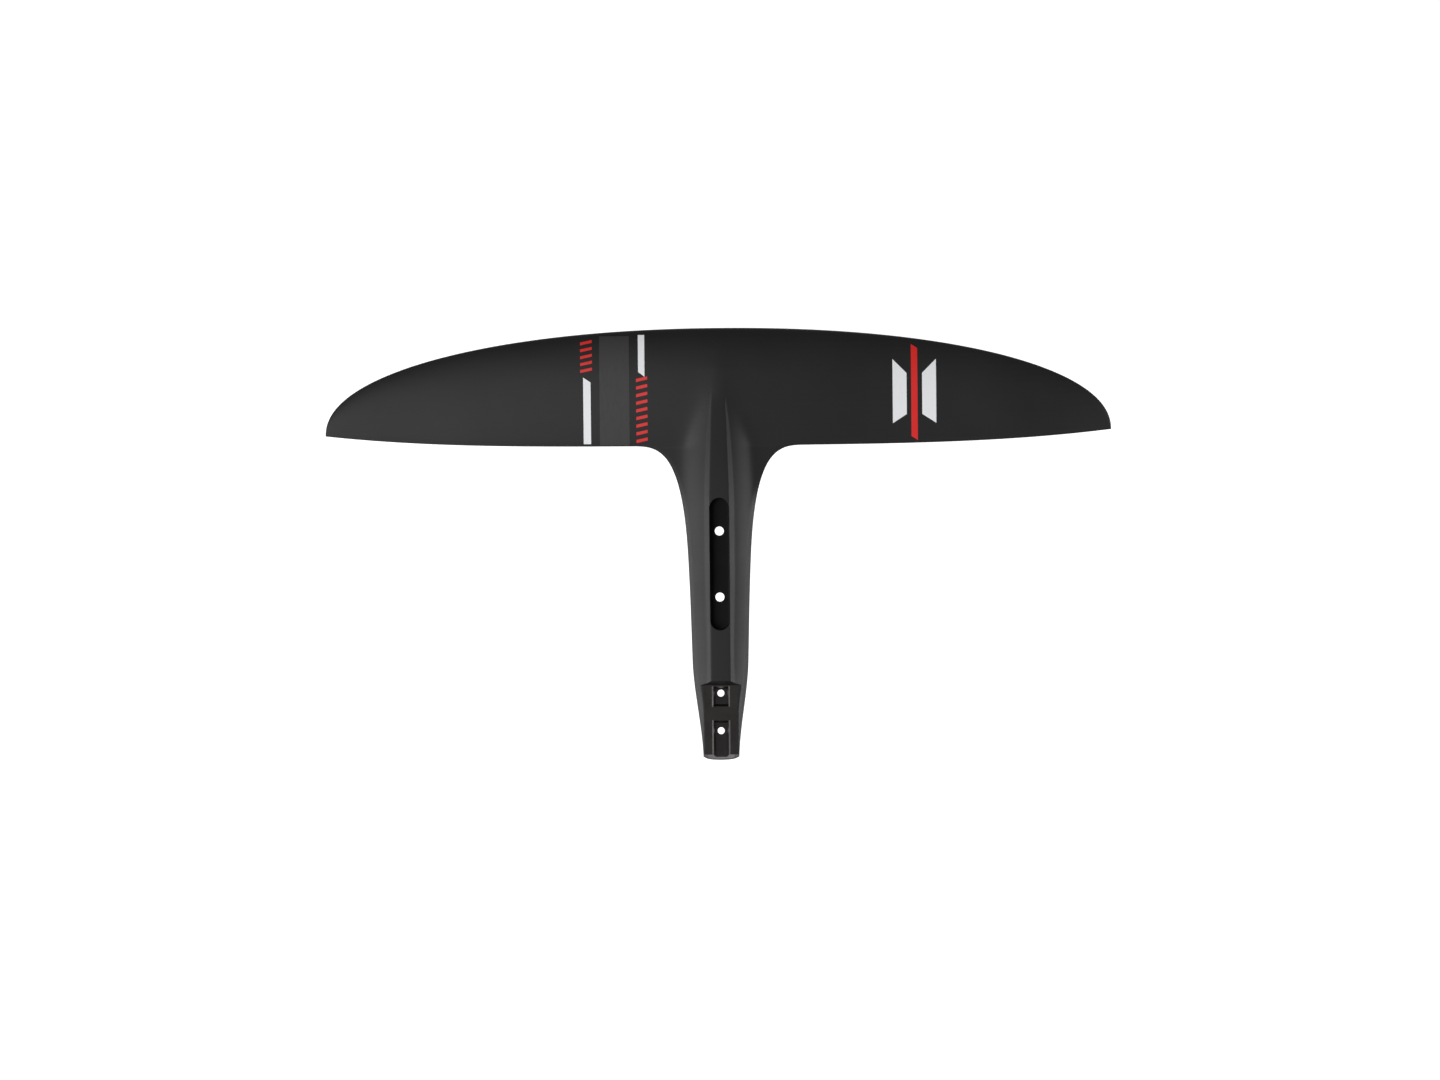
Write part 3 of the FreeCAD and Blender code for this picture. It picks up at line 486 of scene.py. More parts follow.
def laminate(s, x, y, at):
    """Thickness of a shell: thin over the cores, solid along the edges and in the tail."""
    inside = ease(s.thick_skin_outer_x, s.thick_skin_inner_x, abs(x))
    rear = ease(s.rear_solid_start, s.rear_solid_end, at) * (1.0 - inside)
    solid = larger(rear, ease(s.tail_solid_start, s.tail_solid_end, y))
    solid = larger(solid, ease(s.front_solid_start, s.front_solid_end, at))
    return inside * (s.fuselage_skin - s.skin) + s.skin + solid * s.solid_depth


def upper_inside(s, x, y):
    top, _, at = rimmed(s, x, y)
    return larger(top - laminate(s, x, y, at), parting(s, x))


def block_underside(s, x, y):
    """Underside of the tail block with its bevels; far up where there is no block."""
    half = s.block_half_width + smaller(y - s.step_foot_y, 0.0) * s.block_taper
    bevel = larger(abs(x) - half + s.block_bevel, 0.0)
    run = s.block_edge_run
    clear = ease(half, half + run, abs(x)) + ease(s.block_front, s.block_front + run, y)
    return s.block_floor - s.block_clear + bevel + clear * s.solid_depth


def lower_inside(s, x, y):
    _, low, at = rimmed(s, x, y)
    filled = smaller(low + laminate(s, x, y, at), block_underside(s, x, y))
    return smaller(filled, parting(s, x))


# ---------------------------------------------------------------- plan of the shells


def curve_points(points, spacing):
    """The same line with its points evenly spaced."""
    points = np.asarray(points, float)
    steps = np.hypot(*np.diff(points, axis=0).T)
    run = np.concatenate([[0.0], np.cumsum(steps)])
    places = np.linspace(0.0, run[-1], max(2, int(round(run[-1] / spacing)) + 1))
    return np.column_stack([np.interp(places, run, points[:, i]) for i in (0, 1)])


def mirrored(points):
    points = np.asarray(points, float)
    return np.concatenate([points, points * (-1.0, 1.0)])


def leading_line(count):
    """Points along the right half of the leading edge, closer together towards the tip."""
    turn = np.linspace(0.0, math.pi / 2.0, count)
    x = SIZES.half_span * np.sin(turn) ** (2.0 / SIZES.leading_edge_power)
    return np.column_stack([x, leading_edge(SIZES, x)])


def rear_line():
    """Right half of the rear edge: from the tail up the fuselage side, round the corner to the tip."""
    s = SIZES
    side_y = np.linspace(s.tail_y, s.corner_y, 60)
    side = np.column_stack([side_x(s, side_y), side_y])
    turn = np.linspace(0.0, math.pi / 2.0, 120)[1:]
    corner_y = s.corner_y + (s.trailing_edge_y - s.corner_y) * np.sin(turn) ** (2.0 / s.corner_power)
    corner_y[-1] = s.trailing_edge_y
    across = 1.0 - np.cos(turn) ** (2.0 / s.corner_power)
    across[-1] = 1.0
    corner_x = fuselage_x(s, corner_y) + (s.corner_x - s.fuselage_half_width) * across
    corner = np.column_stack([corner_x, corner_y])
    bend = np.linspace(0.0, 1.0, 150)[1:]
    wing_x = s.corner_x + (s.half_span - s.corner_x) * np.sin(bend * math.pi / 2.0)
    wing = np.column_stack([wing_x, trailing_edge(s, wing_x)])
    return np.concatenate([curve_points(np.concatenate([side, corner]), 2.0), wing])


def crossing(near, far, is_before):
    """Where the test stops holding between near and far, found by halving the interval."""
    for _ in range(HALVINGS):
        middle = (near + far) / 2.0
        before = is_before(middle)
        near = np.where(before, middle, near)
        far = np.where(before, far, middle)
    return near


def foot_half_width(y):
    """Where the deck's chamfer meets the moulding."""
    _, near = deck_line(SIZES, y)
    return crossing(near, near + 12.0, lambda x: spine_height(SIZES, x, y) > rimmed(SIZES, x, y)[0])


def stadium(offset, steps=64):
    """A ring round the mast pocket at a distance from its mouth."""
    radius = SIZES.pocket_half_width + offset
    straight = SIZES.pocket_straight
    arc = np.linspace(0.0, math.pi, steps)
    front = np.column_stack([radius * np.cos(arc), straight + radius * np.sin(arc)])
    down = np.linspace(straight, -straight, int(2.0 * straight / 1.5) + 1)[1:-1]
    left = np.column_stack([np.full(down.size, -radius), down])
    return np.concatenate([front, left, -front, -left])


def ring(centre_y, radius, count):
    turn = np.linspace(0.0, 2.0 * math.pi, count, endpoint=False)
    return np.column_stack([radius * np.cos(turn), centre_y + radius * np.sin(turn)])


class Plan:
    """Points and edges in plan that a shell's flat mesh is triangulated from."""

    def __init__(self):
        self.points = []
        self.edges = []
        self.count = 0

    def scatter(self, points):
        self.points.append(np.asarray(points, float))
        self.count += len(points)

    def line(self, points, closed=False):
        first = self.count
        self.scatter(points)
        last = self.count - 1
        self.edges += [(i, i + 1) for i in range(first, last)]
        if closed:
            self.edges.append((last, first))

    def outline(self):
        """The whole edge, and rows of points that follow it where the surface turns quickly."""
        s = SIZES
        rear = rear_line()
        lead = leading_line(170)
        right = np.concatenate([rear[:-1], [[s.half_span, s.tip_y - 0.35]], lead[::-1]])
        left = right[::-1] * (-1.0, 1.0)
        tail_x = np.linspace(-rear[0, 0], rear[0, 0], 29)[1:-1]
        tail = np.column_stack([tail_x, np.full(tail_x.size, s.tail_y)])
        self.line(np.concatenate([right, left[1:], tail]), closed=True)
        chord = lead[:, 1] - trailing_edge(s, lead[:, 0])
        for share in (np.arange(1, 38) / 38.0) ** 1.9:
            row = np.column_stack([lead[:, 0], lead[:, 1] - chord * share])[:-2]
            self.scatter(mirrored(row))
        along = np.diff(rear, axis=0)
        along /= np.hypot(*along.T)[:, None]
        inward = np.column_stack([-along[:, 1], along[:, 0]])
        for step in (0.1, 0.35, 0.75, 1.3, 2.0, 2.8, 3.7, 4.8):
            row = rear[:-1] + inward * step
            keep = inside_outline(row, 0.6 * step) & (row[:, 0] < s.half_span - 8.0 - step)
            self.scatter(mirrored(row[keep]))

    def triangles(self, keep):
        flat = np.concatenate(self.points)
        result = delaunay_2d_cdt([Vector(p) for p in flat], self.edges, [], 0, 1e-5)
        points = np.array(result[0], float)
        corners = np.array(result[2], int)
        middle = points[corners].mean(axis=1)
        corners = corners[keep(middle)]
        one, two, three = (points[corners[:, i]] for i in range(3))
        area = np.cross(two - one, three - one)
        corners = np.where((area < 0.0)[:, None], corners[:, ::-1], corners)
        corners = corners[np.abs(area) > 1e-7]
        used, corners = np.unique(corners, return_inverse=True)
        return points[used], corners.reshape(-1, 3)


def inside_outline(points, margin=0.0):
    x, y = points[:, 0], points[:, 1]
    s = SIZES
    ahead = (y > s.tail_y) & (y < leading_edge(s, x)) & (np.abs(x) < s.half_span)
    return ahead & (inboard(s, x, y) > margin)


def inside_block(points):
    x, y = np.abs(points[:, 0]), points[:, 1]
    return (y < SIZES.step_foot_y) & (x < block_half_width(y))


def block_half_width(y):
    return SIZES.block_half_width + (y - SIZES.step_foot_y) * SIZES.block_taper


def fuselage_grid(plan, spacing):
    """Even points over the fuselage, kept off the rows that follow its sides."""
    y, x = np.meshgrid(np.arange(SIZES.tail_y + 1.5, 232.0, spacing), np.arange(-99.0, 99.1, spacing))
    points = np.column_stack([x.ravel(), y.ravel()])
    behind = points[:, 1] < SIZES.trailing_edge_y + 6.0
    plan.scatter(points[inside_outline(points, 6.0) & behind])


def upper_plan():
    s = SIZES
    plan = Plan()
    plan.outline()
    fuselage_grid(plan, 3.0)
    run = np.arange(-189.0, 219.0, 1.5)
    run = run[run > s.step_foot_y + 3.6]
    _, half = deck_line(s, run)
    foot = foot_half_width(run)
    clear = pocket_distance(s, half, run) > 0.45
    for shift in (-2.5, *CREASE_ROWS):
        row = np.column_stack([half + shift, run])
        off = pocket_distance(s, row[:, 0], row[:, 1]) > 0.5
        plan.scatter(mirrored(row[off & (clear | (shift > 0.0))]))
    for shift in (*CREASE_ROWS, 2.0):
        plan.scatter(mirrored(np.column_stack([foot + shift, run])))
    plan.line(stadium(0.0), closed=True)
    for shift in (0.05, 0.12, 0.2, 0.3, 0.4, 1.2):
        plan.scatter(stadium(shift))
    wall_x = np.linspace(-22.0, 22.0, 89)
    height = soft_larger(rimmed(s, wall_x, -118.0)[0], spine_height(s, wall_x, -118.0), s.deck_crease)
    crest = s.step_foot_y + np.maximum(height - s.ledge, 0.0) / s.step_slope
    for shift in (-0.5, -0.22, -0.08, 0.08, 0.22, 0.5):
        plan.scatter(np.column_stack([wall_x, crest + shift]))
    for shift in (0.08, 0.25, 0.5, 1.2):
        plan.scatter(np.column_stack([wall_x, np.full(wall_x.size, s.step_foot_y + shift)]))
    outer_x = np.linspace(s.block_half_width, 24.0, 16)[1:]
    for shift in (-0.5, -0.2, 0.0):
        plan.scatter(mirrored(np.column_stack([outer_x, np.full(outer_x.size, s.step_foot_y + shift)])))
    ledge_y = np.arange(s.step_foot_y, s.tail_y, -1.0)
    near = np.zeros(ledge_y.size) + 6.0
    far = side_x(s, ledge_y) - 0.3
    near = crossing(near, far, lambda x: rimmed(s, x, ledge_y)[0] > s.ledge)
    for shift in CREASE_ROWS:
        plan.scatter(mirrored(np.column_stack([near + shift, ledge_y])))
    sides = np.arange(s.step_foot_y, s.tail_y - 0.1, -1.0)
    right = np.column_stack([block_half_width(sides), sides])
    across = np.linspace(-s.block_half_width, s.block_half_width, 71)[1:-1]
    foot_line = np.column_stack([across, np.full(across.size, s.step_foot_y)])
    end = right[-1]
    plan.line(np.concatenate([right[::-1], foot_line[::-1], right * (-1.0, 1.0)]))
    plan.line([end, (end[0], s.tail_y)])
    plan.line([end * (-1.0, 1.0), (-end[0], s.tail_y)])

    def keep(middle):
        outside_pocket = pocket_distance(s, middle[:, 0], middle[:, 1]) > 0.0
        return inside_outline(middle) & outside_pocket & ~inside_block(middle)

    return plan.triangles(keep)


def lower_plan():
    s = SIZES
    plan = Plan()
    plan.outline()
    fuselage_grid(plan, 3.0)
    for place, _, sink, _ in SLEEVES:
        opening = sink + FLANGE_EXTRA + s.opening_gap
        plan.line(ring(place, opening, 72), closed=True)
        for shift in (0.06, 0.15, 0.3, 1.0):
            plan.scatter(ring(place, opening + shift, 72))
    sides = np.arange(s.block_front, s.tail_y + 0.5, -1.5)
    for shift in (0.0, 0.2, 0.4):
        edge = block_half_width(np.minimum(sides, s.step_foot_y)) + shift
        plan.scatter(mirrored(np.column_stack([edge, sides])))
        across = np.linspace(-s.block_half_width, s.block_half_width, 24)
        plan.scatter(np.column_stack([across, np.full(across.size, s.block_front + shift)]))

    def keep(middle):
        return inside_outline(middle) & (sleeve_distance(s, middle[:, 0], middle[:, 1]) > 0.0)

    return plan.triangles(keep)


# ---------------------------------------------------------------- section rule as Geometry Nodes

RULE_INPUTS = [
    ("half_span", "Half span", "Wing half span in millimetres"),
    ("root_thickness", "Root thickness", "Section thickness at the root as a share of the chord"),
    ("tip_thickness", "Tip thickness", "Section thickness at the tip as a share of the chord"),
    ("camber", "Camber", "Camber as a share of the chord"),
    ("anhedral", "Anhedral", "Downward slope of the wings in radians"),
    ("crown", "Crown", "Height of the fuselage's crown in millimetres"),
    ("belly", "Belly", "Height of the fuselage's belly in millimetres"),
    ("blend", "Blend", "Width of the soft blend from wing to fuselage in millimetres"),
    ("deck", "Deck", "Height of the flat deck in millimetres"),
]


def rule_tree(name, upper_z, lower_z, repeat=False):
    """A Geometry Nodes tree that lifts a flat mesh between two surfaces of the moulding's rule."""
    group = bpy.data.node_groups.new(name, "GeometryNodeTree")
    face = group.interface

    def socket(label, kind, text="", way="INPUT"):
        face.new_socket(name=label, in_out=way, socket_type="NodeSocket" + kind, description=text)

    socket("Geometry", "Geometry")
    for _, label, text in RULE_INPUTS:
        socket(label, "Float", text)
    if repeat:
        socket("Count", "Int", "Marks in the row")
        socket("Pitch", "Float", "Pitch of the marks")
    socket("Material", "Material")
    socket("Geometry", "Geometry", way="OUTPUT")
    tree = Tree(group)
    given = tree.add("NodeGroupInput")
    sizes = SimpleNamespace(**{**MOULD, **{key: given[label] for key, label, _ in RULE_INPUTS}})
    geometry = given["Geometry"]
    if repeat:
        step = tree.add("ShaderNodeCombineXYZ", None, {"Y": given["Pitch"]})["Vector"]
        line = tree.add("GeometryNodeMeshLine", None, {"Count": given["Count"], "Offset": step})["Mesh"]
        spread = {"Points": line, "Instance": geometry}
        geometry = tree.add("GeometryNodeInstanceOnPoints", None, spread)["Instances"]
        geometry = tree.add("GeometryNodeRealizeInstances", None, {"Geometry": geometry})["Geometry"]
    position = tree.add("GeometryNodeInputPosition")["Position"]
    place = tree.add("ShaderNodeSeparateXYZ", None, {"Vector": position})
    x = place["X"] / MM
    y = place["Y"] / MM
    layer = tree.add("GeometryNodeInputNamedAttribute", None, {"Name": "layer"})["Attribute"]
    height = layer * upper_z(sizes, x, y) + (1.0 - layer) * lower_z(sizes, x, y)
    leaned = y + toward_tail(sizes, y) * height * sizes.tail_rake
    lifted = {"X": place["X"], "Y": leaned * MM, "Z": height * MM}
    spot = tree.add("ShaderNodeCombineXYZ", None, lifted)["Vector"]
    moved = {"Geometry": geometry, "Position": spot}
    geometry = tree.add("GeometryNodeSetPosition", None, moved)["Geometry"]
    if not repeat:
        close = {"Geometry": geometry, "Distance": 0.000004}
        geometry = tree.add("GeometryNodeMergeByDistance", None, close)["Geometry"]
        geometry = tree.add("GeometryNodeRealizeInstances", None, {"Geometry": geometry})["Geometry"]
    painted = {"Geometry": geometry, "Material": given["Material"]}
    geometry = tree.add("GeometryNodeSetMaterial", None, painted)["Geometry"]
    tree.add("NodeGroupOutput", None, {"Geometry": geometry})
    return group


def grown(flat, group, material, **extra):
    """The plain mesh that a Geometry Nodes tree makes of a flat mesh, as a new object."""
    raw = bpy.data.objects.new(flat.name + "_flat", flat)
    bpy.context.scene.collection.objects.link(raw)
    modifier = raw.modifiers.new("rule", "NODES")
    modifier.node_group = group
    values = {label: MOULD[key] for key, label, _ in RULE_INPUTS}
    values.update(Material=material, **extra)
    for item in group.interface.items_tree:
        if item.in_out == "INPUT" and item.name in values:
            modifier[item.identifier] = values[item.name]
    bpy.context.view_layer.update()
    evaluated = raw.evaluated_get(bpy.context.evaluated_depsgraph_get())
    mesh = bpy.data.meshes.new_from_object(evaluated)
    name = flat.name
    raw.modifiers.remove(modifier)
    bpy.data.objects.remove(raw)
    mesh.name = name
    mesh.materials.clear()
    mesh.materials.append(material)
    piece = bpy.data.objects.new(name, mesh)
    bpy.context.scene.collection.objects.link(piece)
    return piece


def flat_mesh(name, points, faces, layers, kinds):
    """A mesh in the plan plane with the layer of each point and the kind of each face."""
    mesh = bpy.data.meshes.new(name)
    spots = np.column_stack([points * MM, np.zeros(len(points))])
    mesh.from_pydata(spots.tolist(), [], faces)
    layer = mesh.attributes.new("layer", "FLOAT", "POINT")
    layer.data.foreach_set("value", np.asarray(layers, np.float32))
    kind = mesh.attributes.new("kind", "INT", "FACE")
    kind.data.foreach_set("value", np.asarray(kinds, np.int32))
    return mesh


def sandwich(name, points, corners):
    """Two layers joined by walls along every open edge; kind 1 is the upper, 2 the lower, 3 a wall."""
    count = len(points)
    ways = np.concatenate([corners[:, [0, 1]], corners[:, [1, 2]], corners[:, [2, 0]]])
    keys = set(map(tuple, ways.tolist()))
    walls = [(b, a, a + count, b + count) for a, b in keys if (b, a) not in keys]
    faces = corners.tolist() + (corners[:, ::-1] + count).tolist() + walls
    kinds = [1] * len(corners) + [2] * len(corners) + [3] * len(walls)
    layers = np.concatenate([np.ones(count), np.zeros(count)])
    return flat_mesh(name, np.concatenate([points, points]), faces, layers, kinds)


def true_normals(piece, kind, surface, way):
    """Sets the normals of one kind of face from the slope of the surface that it lies on."""
    mesh = piece.data
    mesh.update()
    count = len(mesh.loops)
    corner_point = np.empty(count, int)
    mesh.loops.foreach_get("vertex_index", corner_point)
    spots = np.empty(len(mesh.vertices) * 3)
    mesh.vertices.foreach_get("co", spots)
    spots = spots.reshape(-1, 3) / MM
    totals = np.empty(len(mesh.polygons), int)
    mesh.polygons.foreach_get("loop_total", totals)
    flat = np.empty(len(mesh.polygons) * 3)
    mesh.polygons.foreach_get("normal", flat)
    kinds = np.empty(len(mesh.polygons), int)
    mesh.attributes["kind"].data.foreach_get("value", kinds)
    normals = np.repeat(flat.reshape(-1, 3), totals, axis=0)
    chosen = np.repeat(kinds, totals) == kind
    x, y, z = spots.T
    y = y - toward_tail(SIZES, y) * z * SIZES.tail_rake
    step = 0.002
    y = np.minimum(y, leading_edge(SIZES, x) - step)
    slope_x = (surface(SIZES, x + step, y) - surface(SIZES, x - step, y)) / (2.0 * step)
    slope_y = (surface(SIZES, x, y + step) - surface(SIZES, x, y - step)) / (2.0 * step)
    true = np.column_stack([-slope_x, -slope_y, np.ones(x.size)]) * way
    true = np.nan_to_num(true)
    true /= np.linalg.norm(true, axis=1)[:, None]
    normals[chosen] = true[corner_point][chosen]
    mesh.polygons.foreach_set("use_smooth", np.ones(len(mesh.polygons), bool))
    mesh.normals_split_custom_set(normals.tolist())
    mesh.update()


# ---------------------------------------------------------------- small solid pieces


def made_object(name, mesh, material):
    mesh.materials.clear()
    mesh.materials.append(material)
    piece = bpy.data.objects.new(name, mesh)
    bpy.context.scene.collection.objects.link(piece)
    return piece


def lofted(name, rings, cap_first=True, cap_last=True):
    """A mesh through rings of points that all have the same number of points, in millimetres."""
    mesh = bpy.data.meshes.new(name)
    size = len(rings[0])
    points = [(x * MM, y * MM, z * MM) for ring_points in rings for x, y, z in ring_points]
    faces = []
    for i in range(len(rings) - 1):
        for j in range(size):
            k = (j + 1) % size
            faces.append((i * size + j, i * size + k, (i + 1) * size + k, (i + 1) * size + j))
    if cap_first:
        faces.append(tuple(range(size))[::-1])
    if cap_last:
        last = (len(rings) - 1) * size
        faces.append(tuple(range(last, last + size)))
    mesh.from_pydata(points, [], faces)
    return mesh


def outward(mesh):
    work = bmesh.new()
    work.from_mesh(mesh)
    bmesh.ops.remove_doubles(work, verts=work.verts, dist=1e-7)
    bmesh.ops.recalc_face_normals(work, faces=work.faces)
    work.to_mesh(mesh)
    work.free()
    return mesh


def carved(piece, cutters):
    """The piece with each cutter taken away; the cutters are removed."""
    for cutter in cutters:
        modifier = piece.modifiers.new("cut", "BOOLEAN")
        modifier.operation = "DIFFERENCE"
        modifier.solver = "EXACT"
        modifier.object = cutter
    finished(piece)
    for cutter in cutters:
        bpy.data.objects.remove(cutter)
    return piece


def finished(piece):
    """Turns the piece's modifiers into its own mesh."""
    bpy.context.view_layer.update()
    evaluated = piece.evaluated_get(bpy.context.evaluated_depsgraph_get())
    mesh = bpy.data.meshes.new_from_object(evaluated)
    mesh.name = piece.name
    material = piece.data.materials[0] if piece.data.materials else None
    piece.modifiers.clear()
    piece.data = mesh
    mesh.materials.clear()
    if material:
        mesh.materials.append(material)
    return piece


def rounded(piece, width, segments=2, angle=30.0):
    """Rolls the sharp edges over and shades the piece smooth between flat faces."""
    modifier = piece.modifiers.new("edges", "BEVEL")
    modifier.width = width * MM
    modifier.segments = segments
    modifier.limit_method = "ANGLE"
    modifier.angle_limit = math.radians(angle)
    modifier.harden_normals = True
    for polygon in piece.data.polygons:
        polygon.use_smooth = True
    finished(piece)
    return piece


def block_ring(y, half_width, high, rake=0.0):
    """Cross-section of the tail block, leaning with the raked tail."""
    low, bevel = BLOCK_LOW.z, SIZES.block_bevel
    section = [
        (half_width, high),
        (-half_width, high),
        (-half_width, low + bevel),
        (bevel - half_width, low),
        (half_width - bevel, low),
        (half_width, low + bevel),
    ]
    return [(x, y + rake * z, z) for x, z in section]


def drafted_box(name, front, back, open_end):
    """A pocket cutter that narrows towards its floor; the open end keeps its full length."""
    high, low = SIZES.ledge, SIZES.ledge - KEY_DEPTH
    draft = math.tan(KEY_DRAFT)
    rings = []
    for z in (low, high + 3.0):
        shrink = (high - z) * draft
        rear = back if open_end else back + shrink
        ahead = front - shrink
        side = KEY_HALF_WIDTH - shrink
        rings.append([(side, ahead, z), (-side, ahead, z), (-side, rear, z), (side, rear, z)])
    return made_object(name, outward(lofted(name, rings)), None)


def side_flare(name, front, back, open_end):
    """Cutter for the broad chamfer along both long edges of a key pocket."""
    high, low = SIZES.ledge, SIZES.ledge - FLARE_DEPTH
    front += FLARE_RUN_ON
    back -= 0.0 if open_end else FLARE_RUN_ON
    rings = []
    for z, side in ((low, FLARE_FOOT_HALF_WIDTH), (high + 0.4, FLARE_HALF_WIDTH + 0.4)):
        rings.append([(side, front, z), (-side, front, z), (-side, back, z), (side, back, z)])
    return made_object(name, outward(lofted(name, rings)), None)


def turned(name, profile, centre_y, steps=72):
    """A ring turned from a closed half section of (radius, height) corners."""
    rings = []
    for i in range(steps):
        turn = 2.0 * math.pi * i / steps
        rings.append([(r * math.cos(turn), centre_y + r * math.sin(turn), z) for r, z in profile])
    rings.append(rings[0])
    return outward(lofted(name, rings, False, False))


def rod(name, radius, centre_y, low, high, top_radius=None, steps=72):
    """An upright cylinder or cone used as a cutter."""
    rings = []
    for z, r in ((low, radius), (high, top_radius or radius)):
        rings.append([(x, y, z) for x, y in ring(centre_y, r, steps)])
    return made_object(name, outward(lofted(name, rings)), None)


def hole_chamfer(bore, place, floor, size):
    """Cone that breaks the edge of a bolt hole where the hole meets a floor."""
    over = 0.05
    return rod("hole_edge", bore, place, floor - size, floor + over, bore + size + over)


# ---------------------------------------------------------------- finishes


def material_tree(name):
    material = bpy.data.materials.new(name)
    material.use_nodes = True
    material.node_tree.nodes.clear()
    return material, Tree(material.node_tree)


def close_material(tree, shader):
    tree.add("ShaderNodeOutputMaterial", None, {"Surface": shader})


def principled(tree, **inputs):
    """Principled shader; underscores in the names stand for spaces."""
    named = {key.replace("_", " "): value for key, value in inputs.items()}
    return tree.add("ShaderNodeBsdfPrincipled", None, named)["BSDF"]


def object_place(tree, scale=(1.0, 1.0, 1.0), turn=0.0):
    spot = tree.add("ShaderNodeTexCoord")["Object"]
    settings = {"Vector": spot, "Scale": scale, "Rotation": (0.0, 0.0, turn)}
    return tree.add("ShaderNodeMapping", None, settings)["Vector"]


def noise(tree, place, scale, detail=2.0, rough=0.5):
    inputs = {"Vector": place, "Scale": scale, "Detail": detail, "Roughness": rough}
    return tree.add("ShaderNodeTexNoise", None, inputs)["Fac"]


def tinted(tree, tone, colour):
    """The colour, lighter and darker with a tone that changes over the surface."""
    channels = {i: tone * colour[i] for i in range(3)}
    return tree.add("ShaderNodeCombineColor", None, channels)["Color"]


def bumped(tree, height, strength, distance):
    inputs = {"Height": height, "Strength": strength, "Distance": distance}
    return tree.add("ShaderNodeBump", None, inputs)["Normal"]


def grey(value):
    return (value, value, value, 1.0)


def remap(tree, value, low, high, start, end):
    inputs = {0: value, 1: low, 2: high, 3: start, 4: end}
    return tree.add("ShaderNodeMapRange", {"clamp": True}, inputs)[0]


def twill(tree, place, tow):
    """2/2 twill: how high the tow on top stands and which way it runs, from the place on the cloth."""
    spot = tree.add("ShaderNodeSeparateXYZ", None, {"Vector": place})
    u = spot["X"] / tow
    v = spot["Y"] / tow
    column = u.math("FLOOR")
    line = v.math("FLOOR")
    turn = (column - line).math("FLOORED_MODULO", 4.0)
    warp = turn.math("LESS_THAN", 1.5)
    in_u = (u - column - 0.5).math("ABSOLUTE") * 2.0
    in_v = (v - line - 0.5).math("ABSOLUTE") * 2.0
    across = warp * in_u + (1.0 - warp) * in_v
    crown = 1.0 - across * across
    return crown, warp


def carbon_finish(name, shade, roughness, weave):
    """Carbon cloth under a matt lacquer: a faint twill, fine flatting texture and handling marks."""
    material, tree = material_tree(name)
    cloth = object_place(tree, turn=math.radians(45.0))
    crown, warp = twill(tree, cloth, 0.0021)
    plain = object_place(tree)
    cloud = noise(tree, plain, 9.0, 4.0, 0.6)
    speck = noise(tree, plain, 2600.0, 2.0, 0.6)
    streak = noise(tree, object_place(tree, (40.0, 900.0, 400.0)), 1.0, 3.0, 0.7)
    tone = remap(tree, cloud, 0.3, 0.7, 0.92, 1.08)
    tone = tone + (warp - 0.5) * (0.05 * weave) + (speck - 0.5) * 0.22
    base = tinted(tree, tone, shade)
    rough = remap(tree, cloud, 0.25, 0.75, roughness - 0.05, roughness + 0.05)
    rough = rough + (warp - 0.5) * (0.03 * weave) + (streak - 0.5) * 0.06
    height = crown * (0.5 * weave) + speck * 0.6 + streak * 0.25
    normal = bumped(tree, height, 0.22, 0.00006)
    shader = principled(tree, Base_Color=base, Roughness=rough, Normal=normal)
    tree.nodes[-1].inputs["Specular IOR Level"].default_value = 0.4
    close_material(tree, shader)
    return material


def moulded_finish(name, shade, roughness, grain, gloss):
    """Moulded or machined laminate with fine grain and rubbed high spots."""
    material, tree = material_tree(name)
    plain = object_place(tree)
    cloud = noise(tree, plain, 55.0, 4.0, 0.6)
    fine = noise(tree, object_place(tree, (1.0, 0.15, 1.0)), 1800.0, 3.0, 0.65)
    tone = remap(tree, cloud, 0.3, 0.7, 0.85, 1.15) + (fine - 0.5) * 0.3
    base = tinted(tree, tone, shade)
    rough = remap(tree, cloud, 0.3, 0.7, roughness - 0.06, roughness + 0.08) + (fine - 0.5) * 0.1
    normal = bumped(tree, fine + cloud * 0.5, 0.25 * grain, 0.00008)
    shader = principled(tree, Base_Color=base, Roughness=rough, Normal=normal)
    tree.nodes[-1].inputs["Specular IOR Level"].default_value = gloss
    close_material(tree, shader)
    return material


def steel_finish(name):
    """Turned stainless steel: fine rings round the bore and a few dull patches."""
    material, tree = material_tree(name)
    plain = object_place(tree)
    cloud = noise(tree, plain, 160.0, 3.0, 0.6)
    rings = noise(tree, object_place(tree, (0.05, 0.05, 1.0)), 6000.0, 2.0, 0.6)
    tone = remap(tree, cloud, 0.3, 0.7, 0.44, 0.58)
    base = tree.add("ShaderNodeCombineColor", None, {0: tone, 1: tone * 0.99, 2: tone * 0.97})
    rough = remap(tree, cloud, 0.3, 0.7, 0.24, 0.4) + (rings - 0.5) * 0.12
    normal = bumped(tree, rings, 0.25, 0.00004)
    shader = principled(tree, Base_Color=base["Color"], Roughness=rough, Metallic=1.0, Normal=normal)
    close_material(tree, shader)
    return material


def film_finish(name, colour, roughness):
    """Cut film: even colour with a little print grain and scuffs."""
    material, tree = material_tree(name)
    plain = object_place(tree)
    scuff = noise(tree, object_place(tree, (1.0, 0.2, 1.0)), 420.0, 4.0, 0.7)
    grain = noise(tree, plain, 3000.0, 1.0, 0.5)
    tone = remap(tree, scuff, 0.55, 0.8, 1.0, 0.93) + (grain - 0.5) * 0.05
    base = tinted(tree, tone, colour)
    rough = remap(tree, scuff, 0.4, 0.75, roughness, roughness + 0.14)
    normal = bumped(tree, grain, 0.15, 0.00003)
    shader = principled(tree, Base_Color=base, Roughness=rough, Normal=normal)
    close_material(tree, shader)
    return material


